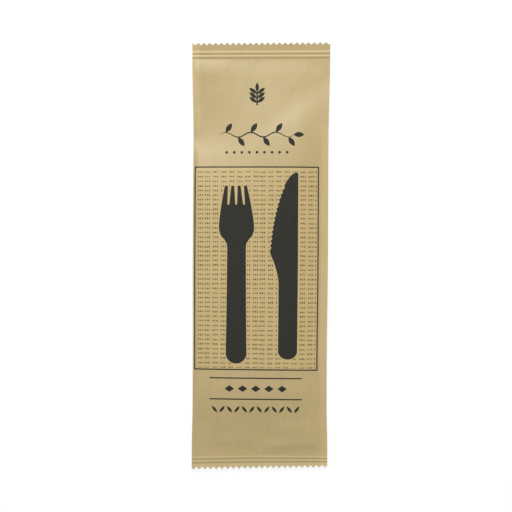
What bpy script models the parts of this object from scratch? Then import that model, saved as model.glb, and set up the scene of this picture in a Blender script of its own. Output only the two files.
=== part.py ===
"""Sealed kraft paper pouch with a set of wooden cutlery in it, lying on its back.

Metres, +Z up. +Y runs from the foot seal to the head seal, and +X is to the right of the printed front.
The origin is under the middle of the pouch, on the surface that it rests on.

The paper is first laid out flat, as a front sheet and a back sheet with one pinked outline. Points on it
are given as (across, along). The print is drawn on the flat front sheet as fields of ink. Each point is
then lifted to the place that the filled pouch gives it, and the two sheets are closed along the outline.
"""

import math

import bmesh
import bpy
from mathutils.geometry import delaunay_2d_cdt

MM = 0.001

# Paper tube
TUBE_WIDTH = 75.4 * MM
LENGTH = 233.0 * MM
LAYER = 0.15 * MM
WAIST_PULL_IN = 0.8 * MM
FOOT_PULL_IN = 0.6 * MM
FOOT_PULL_RUN = 26.0 * MM
FOOT_NARROWING = 0.3 * MM
FOOT_LEAN = 0.1 * MM

# Pinked ends
TOOTH_PITCH = 3.175 * MM
TOOTH_DEPTH = 1.35 * MM
HEAD_FIRST_TIP = 0.0 * MM
FOOT_FIRST_TIP = 1.05 * MM
HEAD_CUT_SLANT = 0.85 * MM
FOOT_CUT_SLANT = 1.55 * MM

# Crimped seals
RIB_COUNT = 2
HEAD_RIB_PITCH = 2.15 * MM
FOOT_RIB_PITCH = 1.85 * MM
RIB_HEIGHT = 0.42 * MM
FOOT_RIB_SHARE = 0.5
HEAD_MARGIN = 4.45 * MM
FOOT_MARGIN = 2.85 * MM
SEAL_HEIGHT = 2.2 * MM
SEAL_SLANT = 0.5 * MM
FOOT_SKEW = 0.8 * MM
FOOT_SEAL_BOW = 0.5 * MM
FOOT_FLAP_RISE = 0.6 * MM
FOOT_CRIMP_DROP = 0.2 * MM
HEAD_FLAP_RISE = 0.6 * MM

# Filled body
SIDE_FOLD_HEIGHT = 3.55 * MM
CROWN = 1.35 * MM
CONTENTS_LIFT = 3.0 * MM
NECK_LENGTH = 45.0 * MM
NECK_SINK = 0.45 * MM
FOLD_RUN = 32.0 * MM
FOOT_RUN = 40.0 * MM
FOOT_LIFT_SHARE = 0.35
HEAD_OPENING_RUN = 9.0 * MM
FOOT_OPENING_RUN = 12.0 * MM
NECK_CROWN_SHARE = 0.3
LEFT_RUN = 2.6 * MM
RIGHT_RUN = 21.5 * MM
BELLY_RUN = 8.0 * MM

# Shoulder over the top of the contents, level on the left and slanting from its bend on, and the dent above
SHOULDER_FROM_HEAD = 50.1 * MM
SHOULDER_TILT = 0.69
SHOULDER_BEND = -11.0 * MM
SHOULDER_EASE = 6.0 * MM
SHOULDER_RUN = 46.0 * MM
SHOULDER_CREASE_SHARE = 0.2
DENT_DEPTH = 1.2 * MM
DENT_FROM_SHOULDER = 7.0 * MM
DENT_LENGTH = 17.0 * MM
DENT_WIDTH = 17.0 * MM
DENT_ACROSS = -25.0 * MM

# Soft swells of the front: middle, height, and reach across and along
SWELLS = (
    ((-31.0 * MM, 101.0 * MM), 0.65 * MM, 10.0 * MM, 5.5 * MM),
    ((23.0 * MM, -98.5 * MM), 0.50 * MM, 13.0 * MM, 7.0 * MM),
)
SWELL_FADE = 2.5 * MM

# Fin seam, folded flat against the back
FIN_WIDTH = 11.0 * MM
FIN_ROOT = -1.0 * MM
FIN_FOLD_GAP = 0.8 * MM
FIN_DRAPE = 3.0 * MM
FIN_EDGE = 0.05 * MM

# Printed panel
PRINT_OFFSET = -2.2 * MM
PANEL_LEFT_GAP = 0.8 * MM
PANEL_RIGHT_GAP = 5.2 * MM
PANEL_FROM_HEAD = 68.0 * MM
PANEL_FROM_FOOT = 53.9 * MM
LINE_WIDTH = 0.7 * MM

# Printed fork
FORK_LENGTH = 97.0 * MM
FORK_ACROSS = -13.3 * MM
FORK_FROM_PANEL_TOP = 10.5 * MM
FORK_HEAD_WIDTH = 19.7 * MM
FORK_TIP_WIDTH = 12.2 * MM
FORK_HEAD_SWELL = 1.48
FORK_TIP_LEAN = 0.5 * MM
FORK_HANDLE_WIDTH = 11.8 * MM
FORK_NECK_WIDTH = 10.4 * MM
FORK_HEAD_LENGTH = 23.8 * MM
FORK_NECK_FROM_TIP = 33.2 * MM
SLOT_DEPTH = 10.4 * MM
SLOT_WIDTH = 1.9 * MM
SLOT_ROOT_WIDTH = 1.05 * MM
SLOT_SPACING = 3.5 * MM
SLOT_ROOT_SPACING = 4.35 * MM
TINE_ROUNDING = 0.55 * MM

# Printed knife
KNIFE_LENGTH = 101.9 * MM
KNIFE_SPINE_ACROSS = 20.9 * MM
KNIFE_FROM_PANEL_TOP = 3.1 * MM
BLADE_WIDTH = 15.8 * MM
BLADE_LENGTH = 43.4 * MM
BLADE_CURVE = 1.5
HEEL_LENGTH = 17.6 * MM
HEEL_CURVE = 1.6
KNIFE_HANDLE_WIDTH = 10.7 * MM
KNIFE_TIP_ROUNDING = 1.5 * MM
KNIFE_END_ROUNDING = 4.6 * MM
PLAIN_EDGE = 7.5 * MM
SERRATION_PITCH = 2.5 * MM
SERRATION_DEPTH = 0.8 * MM

# Printed rules and plain ornaments
RULE_LENGTH = 51.8 * MM
RULE_BELOW_PANEL = (4.3 * MM, 15.8 * MM)
SPRIG_FOOT_FROM_HEAD = 34.4 * MM
SPRIG_STEM = 7.4 * MM
SPRIG_PAIRS = 3
SPRIG_LEAVES = (5.6 * MM, 2.0 * MM)
SPRIG_SPREAD = 38
BRANCH_FROM_HEAD = 50.6 * MM
BRANCH_LENGTH = 42.0 * MM
BRANCH_BENDS = 6
BRANCH_SWING = 2.6 * MM
BRANCH_LEAVES = (6.2 * MM, 2.8 * MM)
BRANCH_SPREAD = 55
STEM_WIDTH = 0.8 * MM
DOT_ROW_FROM_HEAD = 60.3 * MM
DOT_COUNT = 9
DOT_PITCH = 4.2 * MM
DOT_DIAMETER = 1.5 * MM
LOZENGE_COUNT = 5
LOZENGE_PITCH = 7.4 * MM
LOZENGE_SIZE = (5.4 * MM, 3.6 * MM)
LEAF_ROW_BELOW_RULE = 5.6 * MM
LEAF_ROW_COUNT = 12
LEAF_ROW_PITCH = 4.2 * MM
LEAF_ROW_LEAVES = (4.8 * MM, 1.5 * MM)
LEAF_ROW_SLOPE = 50

# How closely the curves are followed
FRONT_GRID = 2.75 * MM
BACK_GRID = 4.2 * MM
GRID_CLEARANCE = 0.7 * MM
RIB_STEPS = 6
SLOPE_SHARES = (0.5, 0.75, 1.0)
CURVE_STEP = 2.0 * MM
ARC_STEPS = 10
SMALL_ARC_STEPS = 4
SHARP_ANGLE = math.radians(40)

# Finishes, as linear colours
KRAFT = (0.50, 0.38, 0.18, 1.0)
DOTTED_KRAFT = (0.42, 0.31, 0.14, 1.0)
INK = (0.037, 0.038, 0.031, 1.0)
PAPER_ROUGHNESS = 0.75
INK_ROUGHNESS = 0.6

HALF_WIDTH = TUBE_WIDTH / 2
HALF_LENGTH = LENGTH / 2
HEAD_RIB_ZONE = RIB_COUNT * HEAD_RIB_PITCH
FOOT_RIB_ZONE = RIB_COUNT * FOOT_RIB_PITCH
HEAD_SEAL = HALF_LENGTH - HEAD_MARGIN - HEAD_RIB_ZONE
FOOT_SEAL = -(HALF_LENGTH - FOOT_MARGIN - FOOT_RIB_ZONE)
FIN_FREE = FIN_ROOT + FIN_WIDTH
PANEL_TOP = HALF_LENGTH - PANEL_FROM_HEAD
PANEL_BOTTOM = -(HALF_LENGTH - PANEL_FROM_FOOT)


def ease(share):
    """Rises smoothly from 0 to 1 as the share does, and stays there."""
    share = min(max(share, 0.0), 1.0)
    return share * share * (3 - 2 * share)


def steps(start, end, spacing):
    """Evenly spaced values from start to end, both included, no further apart than the spacing."""
    count = max(1, math.ceil(abs(end - start) / spacing - 1e-9))
    return [start + (end - start) * i / count for i in range(count + 1)]


# Forming: where the filled pouch carries each point of the flat paper


def climb(share):
    """Rises from 0 to 1 as the share does: from a crease quickly at first, then ever more gently."""
    share = min(max(share, 0.0), 1.0)
    if share < SHOULDER_CREASE_SHARE:
        return share * share / SHOULDER_CREASE_SHARE
    return 1 - (1 - share) ** 2 / (1 - SHOULDER_CREASE_SHARE)


def rib(along):
    """Height of the crimp above the seal's own plane."""
    if 0 < along - HEAD_SEAL < HEAD_RIB_ZONE:
        return RIB_HEIGHT * (1 - math.cos(2 * math.pi * (along - HEAD_SEAL) / HEAD_RIB_PITCH)) / 2
    if 0 < FOOT_SEAL - along < FOOT_RIB_ZONE:
        height = FOOT_RIB_SHARE * RIB_HEIGHT
        return height * (1 - math.cos(2 * math.pi * (FOOT_SEAL - along) / FOOT_RIB_PITCH)) / 2
    return 0.0


def shoulder_line(across):
    """Where along the sachet the paper starts to climb onto the contents."""
    past_bend = across - SHOULDER_BEND
    slanted = (past_bend + math.hypot(past_bend, SHOULDER_EASE)) / 2
    return HALF_LENGTH - SHOULDER_FROM_HEAD + SHOULDER_TILT * slanted


def fold_height(across, along):
    """Height of the middle of the paper. Its side folds sink in the neck and climb at the shoulder."""
    edge = abs(across / HALF_WIDTH) ** 3
    gradual = ease((HEAD_SEAL - along) / NECK_LENGTH)
    climbed = climb((shoulder_line(across) - along) / FOLD_RUN)
    opened = (SIDE_FOLD_HEIGHT - SEAL_HEIGHT) * (gradual + (climbed - gradual) * edge)
    sunk = NECK_SINK * gradual * (1 - climbed) * edge
    flaps = HEAD_FLAP_RISE * max(0.0, along - HEAD_SEAL - HEAD_RIB_ZONE) / HEAD_MARGIN
    flaps += FOOT_FLAP_RISE * max(0.0, FOOT_SEAL - FOOT_RIB_ZONE - along) / FOOT_MARGIN
    flaps -= FOOT_CRIMP_DROP * min(max(0.0, FOOT_SEAL - along) / FOOT_RIB_ZONE, 1.0)
    return SEAL_HEIGHT + (opened - sunk) * ease((along - FOOT_SEAL) / FOOT_RUN) + flaps


def swell_height(across, along):
    """Soft swells of the front, which end at the seals and at the side folds."""
    total = 0.0
    for (x, y), height, wide, tall in SWELLS:
        off = ((across - x) / wide) ** 2 + ((along - y) / tall) ** 2
        total += height * math.exp(-off)
    inside = ease((HALF_WIDTH - abs(across)) / SWELL_FADE)
    return total * inside * ease((HEAD_SEAL - along) / SWELL_FADE) * ease((along - FOOT_SEAL) / SWELL_FADE)


def front_height(across, along):
    opening = ease((HEAD_SEAL - along) / HEAD_OPENING_RUN) * ease((along - FOOT_SEAL) / FOOT_OPENING_RUN)
    neck = ease((HEAD_SEAL - along) / NECK_LENGTH) * ease((along - FOOT_SEAL) / FOOT_RUN)
    fullness = NECK_CROWN_SHARE + (1 - NECK_CROWN_SHARE) * neck
    crown = CROWN * opening * fullness * (1 - (across / HALF_WIDTH) ** 2)
    section = ease((across + HALF_WIDTH) / LEFT_RUN) * ease((HALF_WIDTH - across) / RIGHT_RUN)
    shoulder = shoulder_line(across)
    onto_contents = climb((shoulder - along) / SHOULDER_RUN) * ease((along - FOOT_SEAL) / FOOT_RUN)
    dent_along = (along - shoulder - DENT_FROM_SHOULDER) / DENT_LENGTH
    dent_across = (across - DENT_ACROSS) / DENT_WIDTH
    dent = DENT_DEPTH * opening * section * math.exp(-(dent_along**2) - dent_across**2)
    thickness = 1 - (1 - FOOT_LIFT_SHARE) * ease((HALF_LENGTH - along) / LENGTH)
    lift = CONTENTS_LIFT * thickness * section * onto_contents
    raised = crown + lift - dent + swell_height(across, along)
    return fold_height(across, along) + rib(along) + LAYER + raised


def back_height(across, along):
    flat_share = (
        ease((HALF_WIDTH - abs(across)) / BELLY_RUN)
        * ease((HEAD_SEAL - along) / NECK_LENGTH)
        * ease((along - FOOT_SEAL) / FOOT_RUN)
    )
    wall = (fold_height(across, along) - LAYER) * (1 - flat_share) + rib(along)
    fin = 2 * LAYER
    if FIN_ROOT <= across <= FIN_FREE:
        wall = max(wall - fin, 0.0)
    at_free_edge = fin * (1 - ease((across - FIN_FREE - FIN_EDGE) / FIN_DRAPE)) * (across > FIN_FREE)
    at_root = fin * max(0.0, 1 - abs(across - FIN_ROOT + FIN_FOLD_GAP / 2) / (FIN_FOLD_GAP / 2))
    return max(wall, at_free_edge, at_root)


def formed(across, along):
    """The plan position of a place on the flat paper: its sides pulled in, its foot half a little skewed."""
    head_share = ease((HEAD_SEAL - along) / NECK_LENGTH)
    foot_share = 1 - ease((along - FOOT_SEAL) / FOOT_PULL_RUN)
    skewed = ease(-along / (60 * MM)) * (1 - ease((-along - 80 * MM) / (25 * MM)))
    pull_in = WAIST_PULL_IN * head_share * (1 - foot_share) + FOOT_PULL_IN * foot_share
    pull_in += FOOT_NARROWING * skewed
    x = across * (1 - pull_in / HALF_WIDTH) - FOOT_LEAN * skewed
    side = across / TUBE_WIDTH
    past_head = max(0.0, along - HEAD_SEAL) / (HALF_LENGTH - HEAD_SEAL)
    past_foot = max(0.0, FOOT_SEAL - along) / (HALF_LENGTH + FOOT_SEAL)
    slant = SEAL_SLANT * ease(abs(along) / HALF_LENGTH) - FOOT_SKEW * skewed
    slant += (HEAD_CUT_SLANT - SEAL_SLANT) * past_head + (FOOT_CUT_SLANT - SEAL_SLANT) * past_foot
    bow = FOOT_SEAL_BOW * foot_share * (1 - past_foot) * (1 - (2 * side) ** 2)
    centring = (FOOT_CUT_SLANT - HEAD_CUT_SLANT) / 4
    return x, along + slant * side + bow + centring


# Flat layout of the paper


def pinked_edge(along, first_tip):
    """Tips and valleys from left to right. The first tip lies this far from the left side."""
    half_pitch = TOOTH_PITCH / 2
    turns = [first_tip + i * half_pitch for i in range(math.ceil((TUBE_WIDTH - first_tip) / half_pitch))]
    found = []
    for place in [0.0, *[t for t in turns if t > 0], TUBE_WIDTH]:
        pitches = (place - first_tip) / TOOTH_PITCH
        depth = TOOTH_DEPTH * 2 * abs(pitches - round(pitches))
        found.append((place - HALF_WIDTH, along - math.copysign(depth, along)))
    return found


def crimp_rows():
    """Where along the pouch the crimp's profile needs a line of points."""
    share = [i / RIB_STEPS for i in range(RIB_COUNT * RIB_STEPS + 1)]
    return [HEAD_SEAL + s * HEAD_RIB_PITCH for s in share], [FOOT_SEAL - s * FOOT_RIB_PITCH for s in share]


def outline():
    """The pinked rectangle, anticlockwise from the foot's left corner."""
    head_rows, foot_rows = crimp_rows()
    side = foot_rows[::-1] + steps(FOOT_SEAL, HEAD_SEAL, FRONT_GRID)[1:-1] + head_rows
    right = [(HALF_WIDTH, along) for along in side]
    left = [(-HALF_WIDTH, along) for along in reversed(side)]
    foot = pinked_edge(-HALF_LENGTH, FOOT_FIRST_TIP)
    head = pinked_edge(HALF_LENGTH, HEAD_FIRST_TIP)
    return foot + right + head[::-1] + left


def follow(shape):
    """The closed shape with points added along its longer edges, so that it bends with the paper."""
    found = []
    for a, b in zip(shape, shape[1:] + shape[:1]):
        count = max(1, math.ceil(math.dist(a, b) / FRONT_GRID - 1e-9))
        share = [i / count for i in range(count)]
        found += [(a[0] + (b[0] - a[0]) * s, a[1] + (b[1] - a[1]) * s) for s in share]
    return found


def rectangle(left, right, bottom, top):
    return [(left, bottom), (right, bottom), (right, top), (left, top)]


def ellipse(centre, size, count):
    turns = [2 * math.pi * i / count for i in range(count)]
    return [(centre[0] + size[0] / 2 * math.cos(a), centre[1] + size[1] / 2 * math.sin(a)) for a in turns]


def leaf(base, size, slope):
    """A pointed leaf that grows from its base at this slope, in degrees."""
    c, s = math.cos(math.radians(slope)), math.sin(math.radians(slope))
    share = [i / SMALL_ARC_STEPS for i in range(SMALL_ARC_STEPS + 1)]
    run = [size[0] * along for along in share]
    rise = [size[1] / 2 * math.sin(math.pi * along) for along in share]
    sides = list(zip(run, [-r for r in rise])) + list(zip(run, rise))[-2:0:-1]
    return [(base[0] + x * c - y * s, base[1] + x * s + y * c) for x, y in sides]


def fork_half_width(depth):
    """Half the width of the printed fork, at a depth below its tips."""
    if depth < FORK_HEAD_LENGTH:
        share = 1 - (1 - depth / FORK_HEAD_LENGTH) ** FORK_HEAD_SWELL
        return (FORK_TIP_WIDTH + (FORK_HEAD_WIDTH - FORK_TIP_WIDTH) * share) / 2
    if depth < FORK_NECK_FROM_TIP:
        share = ease((depth - FORK_HEAD_LENGTH) / (FORK_NECK_FROM_TIP - FORK_HEAD_LENGTH))
        return (FORK_HEAD_WIDTH + (FORK_NECK_WIDTH - FORK_HEAD_WIDTH) * share) / 2
    share = (depth - FORK_NECK_FROM_TIP) / (FORK_LENGTH - FORK_NECK_FROM_TIP)
    return (FORK_NECK_WIDTH + (FORK_HANDLE_WIDTH - FORK_NECK_WIDTH) * share**1.5) / 2


def fork_lean(depth):
    """How far the fork's head leans to the left, at a depth below its tips."""
    return FORK_TIP_LEAN * max(0.0, 1 - depth / FORK_HEAD_LENGTH)


def slot(place):
    """A gap between tines as (across, depth), down its left wall and up its right."""
    root = SLOT_ROOT_WIDTH / 2
    mouth, centre = place * SLOT_SPACING, place * SLOT_ROOT_SPACING
    arc = [math.pi * (1 + i / SMALL_ARC_STEPS) for i in range(SMALL_ARC_STEPS + 1)]
    bottom = [(centre + root * math.cos(a), SLOT_DEPTH - root - root * math.sin(a)) for a in arc]
    return [(mouth - SLOT_WIDTH / 2, TINE_ROUNDING), *bottom, (mouth + SLOT_WIDTH / 2, TINE_ROUNDING)]


def fork():
    """The printed fork: a plain silhouette with four tines, anticlockwise from its handle's end."""
    radius = FORK_HANDLE_WIDTH / 2
    flank = [(fork_half_width(d), d) for d in steps(FORK_LENGTH - radius, TINE_ROUNDING, CURVE_STEP)]
    edge = flank[-1]
    walls = [edge, *slot(1)[::-1], *slot(0)[::-1], *slot(-1)[::-1], (-edge[0], edge[1])]
    path = flank[:-1]
    for i in range(0, len(walls), len(slot(0))):
        right, left = walls[i], walls[i + 1]
        corner = (right[0] - left[0]) / 4
        path += [right, (right[0] - corner, 0.0), (left[0] + corner, 0.0)]
        path += walls[i + 1 : i + len(slot(0))]
    path += [walls[-1]] + [(-x, d) for x, d in flank[-2::-1]]
    turns = [math.pi * i / ARC_STEPS for i in range(1, ARC_STEPS)]
    path += [(-radius * math.cos(a), FORK_LENGTH - radius * (1 - math.sin(a))) for a in turns]
    top = PANEL_TOP - FORK_FROM_PANEL_TOP
    return [(FORK_ACROSS - fork_lean(d) + x, top - d) for x, d in path]


def blade_width(depth):
    """Width of the printed knife from its spine, at a depth below its tip."""
    if depth < BLADE_LENGTH:
        return BLADE_WIDTH * math.sqrt(1 - (1 - depth / BLADE_LENGTH) ** BLADE_CURVE)
    share = min(1.0, (depth - BLADE_LENGTH) / HEEL_LENGTH)
    return KNIFE_HANDLE_WIDTH + (BLADE_WIDTH - KNIFE_HANDLE_WIDTH) * (1 - share) ** HEEL_CURVE


def knife():
    """The printed knife: a plain serrated silhouette, anticlockwise from its tip."""
    edge = [(blade_width(d), d) for d in steps(KNIFE_TIP_ROUNDING / 2, PLAIN_EDGE, CURVE_STEP)]
    for i in range(1, 2 * int((BLADE_LENGTH - PLAIN_EDGE) / SERRATION_PITCH) + 1):
        depth = PLAIN_EDGE + i * SERRATION_PITCH / 2
        edge.append((blade_width(depth) - SERRATION_DEPTH * (i % 2), depth))
    edge += [(blade_width(d), d) for d in steps(BLADE_LENGTH, BLADE_LENGTH + HEEL_LENGTH, CURVE_STEP)]
    half = KNIFE_HANDLE_WIDTH / 2
    turns = [math.pi * i / ARC_STEPS for i in range(ARC_STEPS + 1)]
    end = [(half * (1 + math.cos(a)), KNIFE_LENGTH - KNIFE_END_ROUNDING * (1 - math.sin(a))) for a in turns]
    corner = [math.pi / 2 * i / SMALL_ARC_STEPS for i in range(SMALL_ARC_STEPS + 1)]
    tip = KNIFE_TIP_ROUNDING
    spine = [(tip * (1 - math.cos(a)), tip * (1 - math.sin(a))) for a in corner]
    top = PANEL_TOP - KNIFE_FROM_PANEL_TOP
    return [(KNIFE_SPINE_ACROSS - w, top - d) for w, d in edge + end + spine]


def stem(path):
    """A thin ribbon that follows the path and comes to a point at both ends."""
    lower, upper = [], []
    for i, (x, y) in enumerate(path):
        half = STEM_WIDTH / 2 * math.sin(math.pi * i / (len(path) - 1)) ** 0.5
        lower.append((x, y - half))
        upper.append((x, y + half))
    return lower + upper[-2:0:-1]


def sprig():
    """An upright twig with leaves in pairs and one at its tip."""
    foot = HALF_LENGTH - SPRIG_FOOT_FROM_HEAD
    half = STEM_WIDTH / 2
    shapes = [rectangle(PRINT_OFFSET - half, PRINT_OFFSET + half, foot, foot + SPRIG_STEM)]
    shapes.append(leaf((PRINT_OFFSET, foot + SPRIG_STEM - half), SPRIG_LEAVES, 90))
    for i in range(SPRIG_PAIRS):
        base = (PRINT_OFFSET, foot + SPRIG_STEM * (i + 0.5) / SPRIG_PAIRS)
        shapes += [leaf(base, SPRIG_LEAVES, slope) for slope in (SPRIG_SPREAD, 180 - SPRIG_SPREAD)]
    return shapes


def branch():
    """A lying twig that swings up and down, with a leaf at each bend and one at its tip."""
    middle = HALF_LENGTH - BRANCH_FROM_HEAD
    start = PRINT_OFFSET - BRANCH_LENGTH / 2

    def place(share):
        swing = BRANCH_SWING / 2 * math.sin(math.pi * BRANCH_BENDS * share)
        return start + BRANCH_LENGTH * share, middle + swing

    shapes = [stem([place(share) for share in steps(0, 1, CURVE_STEP / BRANCH_LENGTH)])]
    shapes.append(leaf(place(1 - STEM_WIDTH / BRANCH_LENGTH), BRANCH_LEAVES, 0))
    for i in range(BRANCH_BENDS):
        slope = BRANCH_SPREAD if i % 2 == 0 else -BRANCH_SPREAD
        shapes.append(leaf(place((i + 0.5) / BRANCH_BENDS), BRANCH_LEAVES, slope))
    return shapes


def rules():
    left, right = PRINT_OFFSET - RULE_LENGTH / 2, PRINT_OFFSET + RULE_LENGTH / 2
    return [
        rectangle(left, right, PANEL_BOTTOM - drop - LINE_WIDTH / 2, PANEL_BOTTOM - drop + LINE_WIDTH / 2)
        for drop in RULE_BELOW_PANEL
    ]


def row_of(count, pitch):
    """Positions across the print of a centred row."""
    return [PRINT_OFFSET + (i - (count - 1) / 2) * pitch for i in range(count)]


def ornaments():
    """Plain figures where the pack carries words: two twigs and rows of dots, lozenges and leaves."""
    shapes = sprig() + branch()
    dots_along = HALF_LENGTH - DOT_ROW_FROM_HEAD
    for across in row_of(DOT_COUNT, DOT_PITCH):
        shapes.append(ellipse((across, dots_along), (DOT_DIAMETER, DOT_DIAMETER), 8))
    between_rules = PANEL_BOTTOM - sum(RULE_BELOW_PANEL) / 2
    for across in row_of(LOZENGE_COUNT, LOZENGE_PITCH):
        shapes.append(ellipse((across, between_rules), LOZENGE_SIZE, 4))
    lean = math.radians(LEAF_ROW_SLOPE)
    reach = (LEAF_ROW_LEAVES[0] / 2 * math.cos(lean), LEAF_ROW_LEAVES[0] / 2 * math.sin(lean))
    middle = PANEL_BOTTOM - RULE_BELOW_PANEL[1] - LEAF_ROW_BELOW_RULE
    for i, across in enumerate(row_of(LEAF_ROW_COUNT, LEAF_ROW_PITCH)):
        way = 1 if i % 2 else -1
        base = (across - way * reach[0], middle - reach[1])
        shapes.append(leaf(base, LEAF_ROW_LEAVES, LEAF_ROW_SLOPE if way == 1 else 180 - LEAF_ROW_SLOPE))
    return shapes


def panel(inset):
    return rectangle(
        -HALF_WIDTH + PANEL_LEFT_GAP + inset,
        HALF_WIDTH - PANEL_RIGHT_GAP - inset,
        PANEL_BOTTOM + inset,
        PANEL_TOP - inset,
    )


# Sheets: the flat layout cut into triangles


def distance_to_edge(point, a, b):
    run = (b[0] - a[0], b[1] - a[1])
    length = run[0] ** 2 + run[1] ** 2
    share = ((point[0] - a[0]) * run[0] + (point[1] - a[1]) * run[1]) / length if length else 0.0
    share = min(max(share, 0.0), 1.0)
    return math.hypot(point[0] - a[0] - share * run[0], point[1] - a[1] - share * run[1])


def grid_points(spacing, paths):
    """A grid over the sheet, less the points that crowd a line that is already there."""
    edges = [(a, b) for path in paths for a, b in zip(path, path[1:])]
    found = []
    end = HALF_LENGTH - TOOTH_DEPTH
    for along in steps(-end, end, spacing):
        doubled = 2 * along
        near = [e for e in edges if abs(e[0][1] + e[1][1] - doubled) < abs(e[0][1] - e[1][1]) + 2 * spacing]
        for across in steps(-HALF_WIDTH, HALF_WIDTH, spacing):
            if all(distance_to_edge((across, along), a, b) > GRID_CLEARANCE for a, b in near):
                found.append((across, along))
    return found


def triangles(closed, lines, spacing):
    """(points, triangles, the closed shapes round each triangle) of the layout, inside the first shape."""
    points, faces, edges = [], [], []
    for shape in closed:
        faces.append(list(range(len(points), len(points) + len(shape))))
        points += shape
    for line in lines:
        edges += [(len(points) + i, len(points) + i + 1) for i in range(len(line) - 1)]
        points += line
    points += grid_points(spacing, [shape + shape[:1] for shape in closed] + lines)
    found, _, cells, _, _, inside = delaunay_2d_cdt(points, edges, faces, 0, 1e-7, True)
    kept = [(cell, held) for cell, held in zip(cells, inside) if 0 in held]
    return found, [cell for cell, _ in kept], [set(held) for _, held in kept]


def crimp_lines(spacing):
    head_rows, foot_rows = crimp_rows()
    across = steps(-HALF_WIDTH, HALF_WIDTH, spacing)
    return [[(x, row) for x in across] for row in head_rows + foot_rows]


def slope_lines(places, spacing):
    """Lines along the open tube at these places across it, so that its slopes bend evenly."""
    return [[(across, along) for along in steps(FOOT_SEAL, HEAD_SEAL, spacing)] for across in places]


def fin_lines():
    """The creases and edges of the fin, from seal to seal and on into both flaps."""
    end = HALF_LENGTH - 1.5 * TOOTH_DEPTH
    places = (
        FIN_ROOT - FIN_FOLD_GAP,
        FIN_ROOT - FIN_FOLD_GAP / 2,
        FIN_ROOT,
        FIN_FREE,
        FIN_FREE + FIN_EDGE,
        FIN_FREE + FIN_DRAPE / 2,
        FIN_FREE + FIN_DRAPE,
    )
    return [[(across, along) for along in steps(-end, end, BACK_GRID)] for across in places]


def add_sheet(mesh, points, cells, height, facing_up):
    """Adds one formed sheet, and returns its vertices and faces in the order of the layout."""
    vertices = [mesh.verts.new((*formed(*p), height(*p))) for p in points]
    faces = [mesh.faces.new([vertices[i] for i in (cell if facing_up else cell[::-1])]) for cell in cells]
    return vertices, faces


def rim(points, cells):
    """The layout's outer edges as ordered pairs of point numbers."""
    directed = {(cell[i], cell[(i + 1) % 3]) for cell in cells for i in range(3)}
    return [pair for pair in directed if pair[::-1] not in directed]


def close_rim(mesh, front, back, front_points, back_points, pairs):
    """Joins the two sheets along the outline, where each point of one lies under a point of the other."""
    under = {(round(x, 7), round(y, 7)): vertex for (x, y), vertex in zip(back_points, back)}
    for a, b in pairs:
        below = [under[round(front_points[i][0], 7), round(front_points[i][1], 7)] for i in (a, b)]
        mesh.faces.new((front[b], front[a], *below))


def material(name, colour, roughness):
    made = bpy.data.materials.new(name)
    made.diffuse_color = colour
    made.use_nodes = True
    shader = made.node_tree.nodes["Principled BSDF"]
    shader.inputs["Base Color"].default_value = colour
    shader.inputs["Roughness"].default_value = roughness
    shader.inputs["Metallic"].default_value = 0.0
    return made


def pouch():
    """The whole sealed pouch as one closed body, its print as faces with an ink material."""
    edge = outline()
    ink_shapes = [fork(), knife(), *rules(), *ornaments()]
    frame_outer, frame_inner = panel(-LINE_WIDTH / 2), panel(LINE_WIDTH / 2)
    shapes = [edge, *[follow(shape) for shape in (frame_outer, frame_inner, *ink_shapes)]]
    left_slope = [LEFT_RUN * share - HALF_WIDTH for share in SLOPE_SHARES]
    belly = [BELLY_RUN * share - HALF_WIDTH for share in SLOPE_SHARES]
    front_lines = crimp_lines(FRONT_GRID) + slope_lines(left_slope, FRONT_GRID)
    back_lines = crimp_lines(BACK_GRID) + slope_lines(belly + [-b for b in belly], BACK_GRID) + fin_lines()
    front_points, front_cells, front_held = triangles(shapes, front_lines, FRONT_GRID)
    back_points, back_cells, _ = triangles([edge], back_lines, BACK_GRID)

    mesh = bmesh.new()
    front, front_faces = add_sheet(mesh, front_points, front_cells, front_height, True)
    back, _ = add_sheet(mesh, back_points, back_cells, back_height, False)
    close_rim(mesh, front, back, front_points, back_points, rim(front_points, front_cells))
    for face, held in zip(front_faces, front_held):
        on_frame_line = 1 in held and 2 not in held
        inked = on_frame_line or any(number > 2 for number in held)
        face.material_index = 2 if inked else 1 if 2 in held else 0

    data = bpy.data.meshes.new("paper_pouch")
    mesh.to_mesh(data)
    mesh.free()
    data.shade_smooth()
    data.set_sharp_from_angle(angle=SHARP_ANGLE)
    made = bpy.data.objects.new("paper_pouch", data)
    data.materials.append(material("kraft_paper", KRAFT, PAPER_ROUGHNESS))
    data.materials.append(material("dotted_kraft_paper", DOTTED_KRAFT, PAPER_ROUGHNESS))
    data.materials.append(material("black_ink", INK, INK_ROUGHNESS))
    bpy.context.scene.collection.objects.link(made)
    return made


def main():
    for old in list(bpy.data.objects):
        bpy.data.objects.remove(old)
    pouch()


main()
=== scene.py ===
"""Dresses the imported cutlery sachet: a crimped, pinked, printed paper sleeve and its fin seam.

The paper is thought of as laid out flat. A place on it is (across, along), with (0, 0) in its
middle and along growing towards the head. The forming functions carry each place to where the
filled sachet has it. They repeat the values of part.py, so the sleeve keeps the form of the solid
that it replaces.
"""

import math
import random

import bpy
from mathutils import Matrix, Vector, noise


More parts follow.
